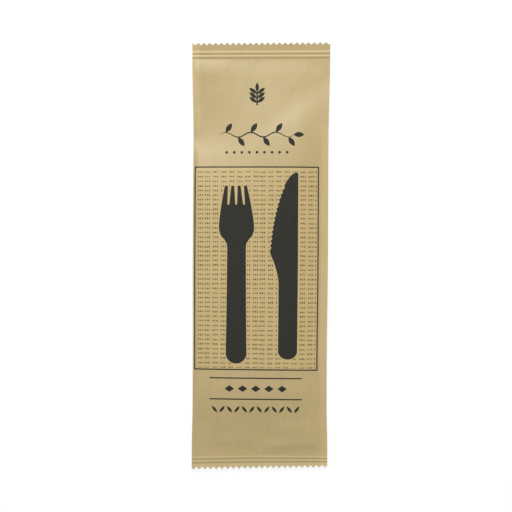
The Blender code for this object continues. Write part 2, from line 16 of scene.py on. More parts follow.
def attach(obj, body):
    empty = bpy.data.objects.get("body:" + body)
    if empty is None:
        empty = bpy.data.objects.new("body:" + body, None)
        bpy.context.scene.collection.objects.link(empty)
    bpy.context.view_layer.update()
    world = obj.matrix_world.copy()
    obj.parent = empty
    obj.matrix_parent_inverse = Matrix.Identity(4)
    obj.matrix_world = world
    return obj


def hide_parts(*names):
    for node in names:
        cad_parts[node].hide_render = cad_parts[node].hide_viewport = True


bl_info = {
    "name": "Paper Cutlery Sachet",
    "version": (1, 0, 0),
    "blender": (4, 5, 0),
    "location": "3D View > Sidebar > Sachet",
    "description": "Builds a sealed kraft paper cutlery sachet and a plain studio round it",
    "category": "Object",
}

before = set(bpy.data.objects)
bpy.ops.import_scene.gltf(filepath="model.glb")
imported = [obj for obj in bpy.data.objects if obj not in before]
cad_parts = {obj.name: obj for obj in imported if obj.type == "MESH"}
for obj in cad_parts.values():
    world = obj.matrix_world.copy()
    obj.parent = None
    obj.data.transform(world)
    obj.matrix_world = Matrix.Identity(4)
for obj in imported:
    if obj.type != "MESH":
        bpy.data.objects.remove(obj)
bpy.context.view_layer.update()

MM = 0.001

# Paper tube, with the small skew of its foot half: how far it takes to set in, and where it ends
TUBE_WIDTH = 75.4 * MM
LENGTH = 233.0 * MM
LAYER = 0.15 * MM
WAIST_PULL_IN = 0.8 * MM
FOOT_PULL_IN = 0.6 * MM
FOOT_PULL_RUN = 26.0 * MM
FOOT_NARROWING = 0.3 * MM
FOOT_LEAN = 0.1 * MM
SKEW_RUN = 60.0 * MM
SKEW_END = 80.0 * MM
SKEW_END_RUN = 25.0 * MM

# Pinked ends
TOOTH_PITCH = 3.175 * MM
TOOTH_DEPTH = 1.35 * MM
HEAD_FIRST_TIP = 0.0 * MM
FOOT_FIRST_TIP = 1.05 * MM
HEAD_CUT_SLANT = 0.85 * MM
FOOT_CUT_SLANT = 1.55 * MM

# Crimped seals
RIB_COUNT = 2
HEAD_RIB_PITCH = 2.15 * MM
FOOT_RIB_PITCH = 1.85 * MM
RIB_HEIGHT = 0.42 * MM
FOOT_RIB_SHARE = 0.5
HEAD_MARGIN = 4.45 * MM
FOOT_MARGIN = 2.85 * MM
SEAL_HEIGHT = 2.2 * MM
SEAL_SLANT = 0.5 * MM
FOOT_SKEW = 0.8 * MM
FOOT_SEAL_BOW = 0.5 * MM
FOOT_FLAP_RISE = 0.6 * MM
FOOT_CRIMP_DROP = 0.2 * MM
HEAD_FLAP_RISE = 0.6 * MM

# Filled body
SIDE_FOLD_HEIGHT = 3.55 * MM
CROWN = 1.35 * MM
CONTENTS_LIFT = 3.0 * MM
NECK_LENGTH = 45.0 * MM
NECK_SINK = 0.45 * MM
FOLD_RUN = 32.0 * MM
FOOT_RUN = 40.0 * MM
FOOT_LIFT_SHARE = 0.35
HEAD_OPENING_RUN = 9.0 * MM
FOOT_OPENING_RUN = 12.0 * MM
NECK_CROWN_SHARE = 0.3
LEFT_RUN = 2.6 * MM
RIGHT_RUN = 21.5 * MM
BELLY_RUN = 8.0 * MM

# Shoulder over the top of the contents, level on the left and slanting from its bend on, and the
# dent above it
SHOULDER_FROM_HEAD = 50.1 * MM
SHOULDER_TILT = 0.69
SHOULDER_BEND = -11.0 * MM
SHOULDER_EASE = 6.0 * MM
SHOULDER_RUN = 46.0 * MM
SHOULDER_CREASE_SHARE = 0.2
DENT_DEPTH = 1.2 * MM
DENT_FROM_SHOULDER = 7.0 * MM
DENT_LENGTH = 17.0 * MM
DENT_WIDTH = 17.0 * MM
DENT_ACROSS = -25.0 * MM

# Soft swells of the front: middle, height, and reach across and along
SWELLS = (
    ((-31.0 * MM, 101.0 * MM), 0.65 * MM, 10.0 * MM, 5.5 * MM),
    ((23.0 * MM, -98.5 * MM), 0.50 * MM, 13.0 * MM, 7.0 * MM),
)
SWELL_FADE = 2.5 * MM

# Fin seam, folded flat against the back
FIN_WIDTH = 11.0 * MM
FIN_ROOT = -1.0 * MM
FIN_FOLD_GAP = 1.6 * MM
FIN_DRAPE = 3.0 * MM
FIN_BITE = 0.04 * MM

# Print, in millimetres on the flat paper: the panel and its rules, the fork and the knife
PRINT_OFFSET = -2.2
PANEL_LEFT_GAP = 0.8
PANEL_RIGHT_GAP = 5.2
PANEL_FROM_HEAD = 68.0
PANEL_FROM_FOOT = 53.9
LINE_WIDTH = 0.7
RULE_LENGTH = 51.8
RULE_BELOW_PANEL = (4.3, 15.8)

FORK_LENGTH = 97.0
FORK_ACROSS = -13.3
FORK_FROM_PANEL_TOP = 10.5
FORK_HEAD_WIDTH = 19.7
FORK_TIP_WIDTH = 12.2
FORK_HEAD_SWELL = 1.48
FORK_TIP_LEAN = 0.5
FORK_HANDLE_WIDTH = 11.8
FORK_NECK_WIDTH = 10.4
FORK_HANDLE_FLARE = 1.5
FORK_HEAD_LENGTH = 23.8
FORK_NECK_FROM_TIP = 33.2
SLOT_DEPTH = 10.4
SLOT_WIDTH = 1.9
SLOT_ROOT_WIDTH = 1.05
SLOT_SPACING = 3.5
SLOT_ROOT_SPACING = 4.35
TINE_ROUNDING = 0.55
TINE_FLARE = 0.8
TINE_REACH = 0.02

KNIFE_LENGTH = 101.9
KNIFE_SPINE_ACROSS = 20.9
KNIFE_FROM_PANEL_TOP = 3.1
BLADE_WIDTH = 15.8
BLADE_LENGTH = 43.4
BLADE_CURVE = 1.5
HEEL_LENGTH = 17.6
HEEL_CURVE = 1.6
KNIFE_HANDLE_WIDTH = 10.7
KNIFE_TIP_ROUNDING = 1.5
KNIFE_END_ROUNDING = 4.6
PLAIN_EDGE = 7.5
SERRATION_PITCH = 2.5
SERRATION_DEPTH = 0.8

# The fork's and the knife's width profiles as curves: their points, and the width at full height
FORK_PROFILE = (24, 10.0)
KNIFE_PROFILE = (40, 16.0)
PROFILE_CROWDING = 1.5

# Soft starts and ends in the print, and a depth that is within every printed shape
SHARP_STEP = 0.01
FINE_STEP = 0.05
SMALL_STEP = 0.1
FAR_INSIDE = 5.0

# Ornaments in the places of the text: an upright twig, a lying one, and rows of dots, lozenges and
# leaves. Leaves are given as length and width
SPRIG_FOOT_FROM_HEAD = 34.4
SPRIG_STEM = 7.4
SPRIG_PAIRS = 3
SPRIG_LEAVES = (5.6, 2.0)
SPRIG_SPREAD = 38
BRANCH_FROM_HEAD = 50.6
BRANCH_LENGTH = 42.0
BRANCH_BENDS = 6
BRANCH_SWING = 2.6
BRANCH_LEAVES = (6.2, 2.8)
BRANCH_SPREAD = 55
BRANCH_LEAF_LEAD = 1 / 14
STEM_WIDTH = 0.8
VEIN_HALF_WIDTH = 0.16
VEIN_DEPTH = 0.5
VEIN_START = (0.12, 0.3)
VEIN_END = (0.9, 0.7)
DOT_ROW_FROM_HEAD = 60.3
DOT_COUNT = 9
DOT_PITCH = 4.2
DOT_DIAMETER = 1.5
LOZENGE_COUNT = 5
LOZENGE_PITCH = 7.4
LOZENGE_SIZE = (5.4, 3.6)
LEAF_ROW_BELOW_RULE = 5.6
LEAF_ROW_COUNT = 12
LEAF_ROW_PITCH = 4.2
LEAF_ROW_LEAVES = (4.8, 1.5)
LEAF_ROW_SLOPE = 50

# Small dots that fill the panel: threes of dots in rows, seven threes to a repeat of the print.
# The place after a three is its gap
DOTS_BELOW_PANEL_TOP = 3.05
DOTS_ROW_PITCH = 2.54
DOTS_LEFT = -31.2
DOTS_REPEAT = 30.76
DOTS_THREE_PITCH = 4.49
DOTS_PITCH = 1.08
DOTS_SIZE = (0.72, 0.94)
DOTS_EDGE = (1.2, 0.8)
BEFORE_GAP = (2.6, 2.4)
DOTS_STRENGTH = (0.30, 0.62)
DOTS_FAINTEST = 0.6
DOTS_ROW_DRIFT = 0.8
DOTS_SWAY = 0.35
DOTS_CLEARANCE = 0.35
DOTS_CLEARANCE_RUN = 0.25
DOTS_FRAME_GAP = (0.5, 0.8)
TINT_FRAME_GAP = (0.2, 1.2)
DOTS_COVER = 0.97

# Edge of the ink, which follows the fibres, the specks that it misses, and its own finish
INK_EDGE = 0.07
INK_WOBBLE = 0.16
INK_SPECKS = (0.81, 0.73)
INK_THINNEST = 0.6
INK_COVER = 0.985
INK_ROUGHNESS = 0.28
INK_SMOOTHING = 0.35

# Noise in the print and the paper: its grains across and along in millimetres, its detail, and a
# shift that sets it apart
ROW_DRIFT_NOISE = ((9.0, 2.6), 1.0, 5.0)
SWAY_NOISE = ((3.1, 2.6), 1.0, 17.0)
STRENGTH_NOISE = ((1.3, 2.2), 1.0, 31.0)
INK_WOBBLE_NOISE = ((0.35, 0.5), 2.0, 2.0)
SPECK_NOISE = ((0.22, 0.4), 2.0, 11.0)
CLOUD_NOISE = ((9.0, 14.0), 3.0, 0.0)
GRAIN_NOISE = ((0.9, 1.3), 3.0, 7.0)
STREAK_NOISE = ((0.8, 16.0), 2.0, 3.0)
DARK_FIBRE_NOISE = ((0.28, 1.9), 1.0, 19.0)
CROSS_FIBRE_NOISE = ((1.7, 0.30), 1.0, 23.0)
PALE_FIBRE_NOISE = ((0.30, 2.3), 1.0, 29.0)

# Creases that handling left in the front: from, to, height and half width, in millimetres. Each
# fades out over a share of its length at both ends, and reaches over so many half widths
CREASES = (
    ((33.7, 50.0), (33.5, -106.0), -0.10, 1.1),
    ((-35.3, -62.0), (-35.1, -108.0), -0.08, 1.1),
    ((26.0, 103.0), (12.0, 87.0), 0.10, 2.2),
    ((-36.0, 99.0), (-9.0, 76.0), 0.16, 6.0),
    ((-31.0, -101.5), (24.0, -103.5), 0.14, 2.6),
    ((4.0, -93.0), (34.0, -97.5), 0.10, 3.0),
    ((-4.0, -106.4), (37.6, -102.4), 0.36, 2.8),
)
CREASE_FADE = 1 / 4
CREASE_REACH = 3

# Pleats at the seals, drawn between these: the place in each one's share of the seal, then lean,
# length, height and half width in millimetres
PLEATS_PER_SEAL = 9
PLEAT_SEED = 11
PLEAT_PLACE = (0.25, 0.75)
PLEAT_LEAN = (-2.5, 2.5)
PLEAT_LENGTH = (6, 15)
PLEAT_HEIGHT = (-0.10, 0.14)
PLEAT_HALF_WIDTH = (0.9, 1.8)

# Waves of the paper: their size across and along and their layer of the noise, how far from the
# edges they are full, and those of the back
BROAD_WAVES = (17 * MM, 29 * MM, 3.7)
SMALL_WAVES = (5 * MM, 11 * MM, 8.2)
SMALL_WAVE_SHARE = 0.22
WAVES_SIDE_FADE = 5 * MM
WAVES_SEAL_FADE = 6 * MM
CREASES_SEAL_FADE = 2 * MM
BACK_SIDE_FADE = 3 * MM
BACK_LIFTED = 1.5 * MM
BACK_WAVE_SHARE = 0.5
BACK_WAVE_SHIFT = 1.0

# Depth of the paper's fibre relief, how strongly it shows, and the paper's gloss and roughness
PAPER_RELIEF = 0.035 * MM
RELIEF_STRENGTH = 0.55
PAPER_GLOSS = 0.56
PAPER_ROUGHNESS = 0.50

# Where fibres show in their noise, and what the noises add to the shade, roughness and height
DARK_FIBRES = (0.66, 0.80)
OTHER_FIBRES = (0.68, 0.82)
PRINTED_STREAKS = 0.10
PLAIN_STREAKS = 0.09
CLOUD_SHADE, GRAIN_SHADE = 0.09, 0.10
DARK_SHADE, CROSS_SHADE, PALE_SHADE = 0.13, 0.10, 0.11
GRAIN_ROUGHNESS, STREAK_ROUGHNESS = 0.18, 0.12
GRAIN_HEIGHT, STREAK_HEIGHT, CLOUD_HEIGHT, FIBRE_HEIGHT = 0.5, 0.9, 0.6, 0.15

# The paper along the side folds, painted paler as a highlight where the folds catch the light: in
# the head half on the left, and below it on the right. Past the front's reach, the map holds the
# back
FOLD_HIGHLIGHT_FROM = 5.0
FOLD_HIGHLIGHT_FULL = 2.8
FOLD_HIGHLIGHT_TURN = (66.0, 76.0)
FRONT_REACH = (-1.0, -0.5)
FOLD_HIGHLIGHT_PAPER = (0.57, 0.44, 0.21, 1.0)

# How finely the paper is modelled
COLUMNS_PER_TOOTH = 6
FLAP_ROWS = 6
CRIMP_ROWS = 18
BODY_ROWS = 226
SHARP_ANGLE = math.radians(42)

# The flat paper on the piece's own map, front and back side by side
MAP_NAME = "OFBake"
MAP_SPAN = 240.0 * MM
FRONT_U = 0.02
BACK_U = 0.52
FOOT_V = 0.0146

# Studio, in metres: floor, lamp and camera
FLOOR_SIZE = 6.0
FLOOR_SEEN_WHITE = 1.03
FLOOR_SEEN_SHARE = 0.86
KEY_LAMP_PLACE = (-0.14, 1.0, 1.25)
KEY_LAMP_SIZE = (0.7, 0.5)
WHITE = (1.0, 1.0, 1.0, 1.0)
CAMERA_ACROSS = -2.40 * MM
CAMERA_ALONG = -0.11 * MM
CAMERA_LENS = 100.0
CAMERA_SENSOR = 36.0
CAMERA_CLIP = (0.01, 20.0)

# Places worked out from the values above
HALF_WIDTH = TUBE_WIDTH / 2
HALF_LENGTH = LENGTH / 2
HEAD_RIB_ZONE = RIB_COUNT * HEAD_RIB_PITCH
FOOT_RIB_ZONE = RIB_COUNT * FOOT_RIB_PITCH
HEAD_SEAL = HALF_LENGTH - HEAD_MARGIN - HEAD_RIB_ZONE
FOOT_SEAL = -(HALF_LENGTH - FOOT_MARGIN - FOOT_RIB_ZONE)
FIN_FREE = FIN_ROOT + FIN_WIDTH
HALF_WIDTH_MM = HALF_WIDTH / MM
HALF_LENGTH_MM = HALF_LENGTH / MM
PANEL_TOP = HALF_LENGTH_MM - PANEL_FROM_HEAD
PANEL_BOTTOM = PANEL_FROM_FOOT - HALF_LENGTH_MM
PANEL_LEFT = PANEL_LEFT_GAP - HALF_WIDTH_MM
PANEL_RIGHT = HALF_WIDTH_MM - PANEL_RIGHT_GAP


# Settings that a user would change


def colour_setting(name, description, default):
    return bpy.props.FloatVectorProperty(
        name=name,
        description=description,
        default=(*default, 1.0),
        size=4,
        min=0.0,
        max=1.0,
        subtype="COLOR",
    )


class SachetPaperSettings(bpy.types.PropertyGroup):
    """The paper's relief and colours."""

    rib_height: bpy.props.FloatProperty(
        name="Rib Height",
        description="Height of the crimped ribs of both seals",
        default=RIB_HEIGHT,
        min=0.0,
        max=0.002,
        unit="LENGTH",
    )
    crease_share: bpy.props.FloatProperty(
        name="Creases",
        description="Share of the full depth of the creases and pleats",
        default=1.0,
        min=0.0,
        max=2.0,
        subtype="FACTOR",
    )
    unevenness: bpy.props.FloatProperty(
        name="Unevenness",
        description="How far the paper waves gently out of its even form",
        default=0.16 * MM,
        min=0.0,
        max=0.001,
        unit="LENGTH",
    )
    kraft: colour_setting("Kraft Paper", "Mean colour of the bare paper", (0.516, 0.398, 0.188))
    panel_tint: colour_setting(
        "Panel Tint",
        "Mean colour of the paper within the printed frame, between its dots",
        (0.568, 0.428, 0.189),
    )
    dots: colour_setting(
        "Panel Dots", "Colour of the small dots that fill the printed panel", (0.050, 0.024, 0.001)
    )
    ink: colour_setting("Ink", "Colour of the print", (0.0050, 0.0065, 0.0040))


class SachetStageSettings(bpy.types.PropertyGroup):
    """The studio round the sachet."""

    floor_colour: colour_setting(
        "Floor", "Colour of the floor that the sachet lies on", (0.9, 0.9, 0.9)
    )
    key_power: bpy.props.FloatProperty(
        name="Key Lamp",
        description="Power of the soft lamp beyond the head of the sachet",
        default=22.4,
        min=0.0,
        unit="POWER",
    )
    sky_strength: bpy.props.FloatProperty(
        name="Sky",
        description="Strength of the even white light from all round",
        default=0.33,
        min=0.0,
    )
    camera_height: bpy.props.FloatProperty(
        name="Camera Height",
        description="Height of the camera above the floor",
        default=0.7807,
        min=0.1,
        unit="LENGTH",
    )
    camera_turn: bpy.props.FloatProperty(
        name="Camera Turn",
        description="Turn of the camera about its line of sight",
        default=math.radians(0.26),
        subtype="ANGLE",
    )


# Forming: where the filled sachet carries each place of the flat paper


def ease(share):
    """Rises smoothly from 0 to 1 as the share does, and stays there."""
    share = min(max(share, 0.0), 1.0)
    return share * share * (3 - 2 * share)


def from_seals(along, head_run, foot_run):
    """Rises from 0 at both seals to 1 at these distances from them."""
    return ease((HEAD_SEAL - along) / head_run) * ease((along - FOOT_SEAL) / foot_run)


def climb(share):
    """Rises from 0 to 1 with the share: from a crease, quickly at first, then more gently."""
    share = min(max(share, 0.0), 1.0)
    if share < SHOULDER_CREASE_SHARE:
        return share * share / SHOULDER_CREASE_SHARE
    return 1 - (1 - share) ** 2 / (1 - SHOULDER_CREASE_SHARE)


def rib(along, height):
    """Height of the crimp above the seal's own plane."""
    if 0 < along - HEAD_SEAL < HEAD_RIB_ZONE:
        return height * (1 - math.cos(2 * math.pi * (along - HEAD_SEAL) / HEAD_RIB_PITCH)) / 2
    if 0 < FOOT_SEAL - along < FOOT_RIB_ZONE:
        height *= FOOT_RIB_SHARE
        return height * (1 - math.cos(2 * math.pi * (FOOT_SEAL - along) / FOOT_RIB_PITCH)) / 2
    return 0.0


def shoulder_line(across):
    """Where along the sachet the paper starts to climb onto the contents."""
    past_bend = across - SHOULDER_BEND
    slanted = (past_bend + math.hypot(past_bend, SHOULDER_EASE)) / 2
    return HALF_LENGTH - SHOULDER_FROM_HEAD + SHOULDER_TILT * slanted


def fold_height(across, along):
    """Height midway between the two papers. At the sides it sinks in the neck, then climbs."""
    edge = abs(across / HALF_WIDTH) ** 3
    gradual = ease((HEAD_SEAL - along) / NECK_LENGTH)
    climbed = climb((shoulder_line(across) - along) / FOLD_RUN)
    opened = (SIDE_FOLD_HEIGHT - SEAL_HEIGHT) * (gradual + (climbed - gradual) * edge)
    sunk = NECK_SINK * gradual * (1 - climbed) * edge
    flaps = HEAD_FLAP_RISE * max(0.0, along - HEAD_SEAL - HEAD_RIB_ZONE) / HEAD_MARGIN
    flaps += FOOT_FLAP_RISE * max(0.0, FOOT_SEAL - FOOT_RIB_ZONE - along) / FOOT_MARGIN
    flaps -= FOOT_CRIMP_DROP * min(max(0.0, FOOT_SEAL - along) / FOOT_RIB_ZONE, 1.0)
    return SEAL_HEIGHT + (opened - sunk) * ease((along - FOOT_SEAL) / FOOT_RUN) + flaps


def swell_height(across, along):
    """Soft swells of the front, which end at the seals and at the side folds."""
    total = 0.0
    for (x, y), height, wide, tall in SWELLS:
        off = ((across - x) / wide) ** 2 + ((along - y) / tall) ** 2
        total += height * math.exp(-off)
    inside = ease((HALF_WIDTH - abs(across)) / SWELL_FADE)
    return total * inside * from_seals(along, SWELL_FADE, SWELL_FADE)


def front_height(across, along, rib_height):
    """Height of the front paper: its crown, the contents under it, the dent and the swells."""
    opening = from_seals(along, HEAD_OPENING_RUN, FOOT_OPENING_RUN)
    neck = from_seals(along, NECK_LENGTH, FOOT_RUN)
    fullness = NECK_CROWN_SHARE + (1 - NECK_CROWN_SHARE) * neck
    crown = CROWN * opening * fullness * (1 - (across / HALF_WIDTH) ** 2)
    section = ease((across + HALF_WIDTH) / LEFT_RUN) * ease((HALF_WIDTH - across) / RIGHT_RUN)
    shoulder = shoulder_line(across)
    onto_contents = climb((shoulder - along) / SHOULDER_RUN) * ease((along - FOOT_SEAL) / FOOT_RUN)
    dent_along = (along - shoulder - DENT_FROM_SHOULDER) / DENT_LENGTH
    dent_across = (across - DENT_ACROSS) / DENT_WIDTH
    dent = DENT_DEPTH * opening * section * math.exp(-(dent_along**2) - dent_across**2)
    thickness = 1 - (1 - FOOT_LIFT_SHARE) * ease((HALF_LENGTH - along) / LENGTH)
    lift = CONTENTS_LIFT * thickness * section * onto_contents
    raised = crown + lift - dent + swell_height(across, along)
    return fold_height(across, along) + rib(along, rib_height) + LAYER + raised


def back_height(across, along, rib_height):
    """Height of the back paper, which lies flat and is only lifted by the fin seam under it."""
    flat_share = ease((HALF_WIDTH - abs(across)) / BELLY_RUN)
    flat_share *= from_seals(along, NECK_LENGTH, FOOT_RUN)
    wall = (fold_height(across, along) - LAYER) * (1 - flat_share) + rib(along, rib_height)
    past_free_edge = ease((across - FIN_FREE) / FIN_DRAPE)
    before_root = ease((FIN_ROOT - across) / FIN_FOLD_GAP)
    return max(wall, 2 * LAYER * (1 - past_free_edge) * (1 - before_root))


def formed(across, along):
    """Where a place on the flat paper lies in plan: sides pulled in, foot half a little skewed."""
    head_share = ease((HEAD_SEAL - along) / NECK_LENGTH)
    foot_share = 1 - ease((along - FOOT_SEAL) / FOOT_PULL_RUN)
    skewed = ease(-along / SKEW_RUN) * (1 - ease((-along - SKEW_END) / SKEW_END_RUN))
    pull_in = WAIST_PULL_IN * head_share * (1 - foot_share) + FOOT_PULL_IN * foot_share
    pull_in += FOOT_NARROWING * skewed
    x = across * (1 - pull_in / HALF_WIDTH) - FOOT_LEAN * skewed
    side = across / TUBE_WIDTH
    past_head = max(0.0, along - HEAD_SEAL) / (HALF_LENGTH - HEAD_SEAL)
    past_foot = max(0.0, FOOT_SEAL - along) / (HALF_LENGTH + FOOT_SEAL)
    slant = SEAL_SLANT * ease(abs(along) / HALF_LENGTH) - FOOT_SKEW * skewed
    slant += (HEAD_CUT_SLANT - SEAL_SLANT) * past_head + (FOOT_CUT_SLANT - SEAL_SLANT) * past_foot
    bow = FOOT_SEAL_BOW * foot_share * (1 - past_foot) * (1 - (2 * side) ** 2)
    centring = (FOOT_CUT_SLANT - HEAD_CUT_SLANT) / 4
    return x, along + slant * side + bow + centring


# Creases, pleats and gentle waves of the paper


def pleats():
    """Short folds that run from both seals into the body, as creases."""
    draw = random.Random(PLEAT_SEED)
    found = []
    for seal, way in ((HEAD_SEAL, -1), (FOOT_SEAL, 1)):
        for i in range(PLEATS_PER_SEAL):
            across = TUBE_WIDTH * ((i + draw.uniform(*PLEAT_PLACE)) / PLEATS_PER_SEAL - 0.5)
            end_across = across + draw.uniform(*PLEAT_LEAN) * MM
            end = (end_across, seal + way * draw.uniform(*PLEAT_LENGTH) * MM)
            height = draw.uniform(*PLEAT_HEIGHT) * MM
            found.append(((across, seal), end, height, draw.uniform(*PLEAT_HALF_WIDTH) * MM))
    return found


def crease_height(across, along, creases):
    """What the creases add here: each is a soft ridge or groove that fades out at both ends."""
    total = 0.0
    for (x0, y0), (x1, y1), height, half_width in creases:
        run = (x1 - x0) ** 2 + (y1 - y0) ** 2
        share = ((across - x0) * (x1 - x0) + (along - y0) * (y1 - y0)) / run
        if not 0 < share < 1:
            continue
        off = ((across - x0) * (y1 - y0) - (along - y0) * (x1 - x0)) / math.sqrt(run) / half_width
        if abs(off) < CREASE_REACH:
            ends = ease(share / CREASE_FADE) * ease((1 - share) / CREASE_FADE)
            total += height * math.exp(-off * off) * ends
    return total


def waves(across, along, depth):
    """Gentle unevenness of the paper, long in the direction of its fibres."""
    wide, tall, layer = BROAD_WAVES
    broad = noise.noise(Vector((across / wide, along / tall, layer)))
    wide, tall, layer = SMALL_WAVES
    small = noise.noise(Vector((across / wide, along / tall, layer)))
    return depth * (broad + SMALL_WAVE_SHARE * small)


def front_relief(across, along, paper, creases):
    """Creases and waves of the front, which end at the seals and at the side folds."""
    inside = ease((HALF_WIDTH - abs(across)) / WAVES_SIDE_FADE)
    inside *= from_seals(along, WAVES_SEAL_FADE, WAVES_SEAL_FADE)
    creased = crease_height(across, along, creases) * paper.crease_share
    creased *= from_seals(along, CREASES_SEAL_FADE, CREASES_SEAL_FADE)
    return waves(across, along, paper.unevenness) * inside + creased


def back_relief(across, along, paper):
    """The back lies on the floor, so only its free slopes wave."""
    inside = ease((HALF_WIDTH - abs(across)) / BACK_SIDE_FADE)
    inside *= from_seals(along, WAVES_SEAL_FADE, WAVES_SEAL_FADE)
    lifted = ease(back_height(across, along, 0.0) / BACK_LIFTED)
    other_waves = abs(waves(across + BACK_WAVE_SHIFT, along, paper.unevenness))
    return BACK_WAVE_SHARE * other_waves * lifted * inside


# Flat sheets of two faces, cut to the pinked outline


def tooth_depth(across, first_tip):
    """How far the pinked edge lies behind the tips here."""
    pitches = (across + HALF_WIDTH - first_tip) / TOOTH_PITCH
    return TOOTH_DEPTH * 2 * abs(pitches - round(pitches))


def columns_between(left, right):
    """Places across the sheet, at equal parts of a tooth and at both given sides."""
    step = TOOTH_PITCH / COLUMNS_PER_TOOTH
    count = math.ceil(TUBE_WIDTH / step)
    places = [i * step - HALF_WIDTH for i in range(count)]
    return [left, *(p for p in places if left + step / 4 < p < right - step / 4), right]


def row_places():
    """Rows from the foot's cut to the head's: a place along, and a share of the way to the cut."""
    rows = [(FOOT_SEAL - FOOT_RIB_ZONE, i / FLAP_ROWS) for i in range(FLAP_ROWS, 0, -1)]
    rows += [(FOOT_SEAL - FOOT_RIB_ZONE * i / CRIMP_ROWS, 0.0) for i in range(CRIMP_ROWS, 0, -1)]
    rows += [(FOOT_SEAL + (HEAD_SEAL - FOOT_SEAL) * i / BODY_ROWS, 0.0) for i in range(BODY_ROWS)]
    rows += [(HEAD_SEAL + HEAD_RIB_ZONE * i / CRIMP_ROWS, 0.0) for i in range(CRIMP_ROWS + 1)]
    rows += [(HEAD_SEAL + HEAD_RIB_ZONE, i / FLAP_ROWS) for i in range(1, FLAP_ROWS + 1)]
    return rows


def along_at(row, across):
    """Where a row lies along the flat paper: those of the flaps follow the teeth more and more."""
    along, share = row
    if along > 0:
        cut = HALF_LENGTH - tooth_depth(across, HEAD_FIRST_TIP)
    else:
        cut = tooth_depth(across, FOOT_FIRST_TIP) - HALF_LENGTH
    return along + (cut - along) * share


def slab(name, columns, rows):
    """A grid of that many columns and rows of points, extruded to a closed slab one unit thick."""
    bpy.ops.object.select_all(action="DESELECT")
    bpy.ops.mesh.primitive_grid_add(
        x_subdivisions=len(columns) - 1, y_subdivisions=len(rows) - 1, size=2, location=(0, 0, 1)
    )
    piece = bpy.context.object
    piece.name = piece.data.name = name
    bpy.ops.object.transform_apply(location=True, rotation=True, scale=True)
    bpy.ops.object.mode_set(mode="EDIT")
    bpy.ops.mesh.select_all(action="SELECT")
    bpy.ops.mesh.extrude_region_move(TRANSFORM_OT_translate={"value": (0, 0, -1)})
    bpy.ops.mesh.select_all(action="SELECT")
    bpy.ops.mesh.normals_make_consistent(inside=False)
    bpy.ops.object.mode_set(mode="OBJECT")
    return piece


def lay_flat_map(piece, places, tops):
    """Gives the piece its map of the flat paper: top on the left, underside on the right."""
    layer = piece.data.uv_layers.active or piece.data.uv_layers.new(name=MAP_NAME)
    layer.name = MAP_NAME
    for face in piece.data.polygons:
        corners = list(face.vertices)
        all_under = not any(tops[v] for v in corners)
        for loop, vertex in zip(face.loop_indices, corners):
            across, along = places[vertex]
            if all_under:
                u = BACK_U + (HALF_WIDTH - across) / MAP_SPAN
            else:
                u = FRONT_U + (HALF_WIDTH + across) / MAP_SPAN
            v = FOOT_V + (HALF_LENGTH + along) / MAP_SPAN
            if not all_under and not tops[vertex]:
                u += math.copysign(2 * LAYER / MAP_SPAN, across)
                v += math.copysign(2 * LAYER / MAP_SPAN, along)
            layer.data[loop].uv = (u, v)


def form(piece, columns, rows, top, underside):
    """Carries each point of the slab to its place on the sachet. top and underside give heights."""
    places, tops = [], []
    for vertex in piece.data.vertices:
        column = round((vertex.co.x + 1) / 2 * (len(columns) - 1))
        row = round((vertex.co.y + 1) / 2 * (len(rows) - 1))
        across = columns[column]
        along = along_at(rows[row], across)
        is_top = vertex.co.z > 0.5
        places.append((across, along))
        tops.append(is_top)
        x, y = formed(across, along)
        vertex.co = (x, y, top(across, along) if is_top else underside(across, along))
    lay_flat_map(piece, places, tops)
    piece.data.update()


def finish_piece(piece, material):
    """Turns the faces outwards, smooths all but sharp edges and gives the piece its material."""
    bpy.ops.object.select_all(action="DESELECT")
    piece.select_set(True)
    bpy.context.view_layer.objects.active = piece
    bpy.ops.object.mode_set(mode="EDIT")
    bpy.ops.mesh.select_all(action="SELECT")
    bpy.ops.mesh.normals_make_consistent(inside=False)
    bpy.ops.object.mode_set(mode="OBJECT")
    bpy.ops.object.shade_smooth_by_angle(angle=SHARP_ANGLE)
    piece.data.materials.clear()
    piece.data.materials.append(material)


# Fields: numbers that change over the paper, written as sums and worked out by math nodes


class Field:
    """The output of a node. Sums and products of fields add the math nodes for them."""

    def __init__(self, tree, socket):
        self.tree = tree
        self.socket = socket

    def math(self, operation, *others):
        """The result of a math node on this field and the others."""
        node = self.tree.nodes.new("ShaderNodeMath")
        node.operation = operation
        for slot, value in zip(node.inputs, (self, *others)):
            connect(self.tree, slot, value)
        return Field(self.tree, node.outputs[0])

    def __add__(self, other):
        return self.math("ADD", other)

    def __sub__(self, other):
        return self.math("SUBTRACT", other)

    def __mul__(self, other):
        return self.math("MULTIPLY", other)

    def __truediv__(self, other):
        return self.math("DIVIDE", other)

    def __abs__(self):
        return self.math("ABSOLUTE")

    def __neg__(self):
        return self * -1

    __radd__ = __add__
    __rmul__ = __mul__

    def __rsub__(self, other):
        return -self + other

    def wrapped(self, highest, lowest):
        """The place within one repeat that runs from lowest to highest."""
        return self.math("WRAP", highest, lowest)


def connect(tree, slot, value):
    """Links a field to a node's input, or sets the input to a plain value."""
    if isinstance(value, Field):
        tree.links.new(value.socket, slot)
    else:
        slot.default_value = value


def least(first, *others):
    for other in others:
        first = first.math("MINIMUM", other)
    return first


def most(first, *others):
    for other in others:
        first = first.math("MAXIMUM", other)
    return first


def length_of(x, y):
    return (x * x + y * y).math("SQRT")


def between(value, lowest, highest, low=0.0, high=1.0):
    """Goes smoothly from low to high as the value goes from lowest to highest."""
    node = value.tree.nodes.new("ShaderNodeMapRange")
    node.interpolation_type = "SMOOTHSTEP"
    for name, number in (("Value", value), ("From Min", lowest), ("From Max", highest)):
        connect(value.tree, node.inputs[name], number)
    node.inputs["To Min"].default_value = low
    node.inputs["To Max"].default_value = high
    return Field(value.tree, node.outputs["Result"])


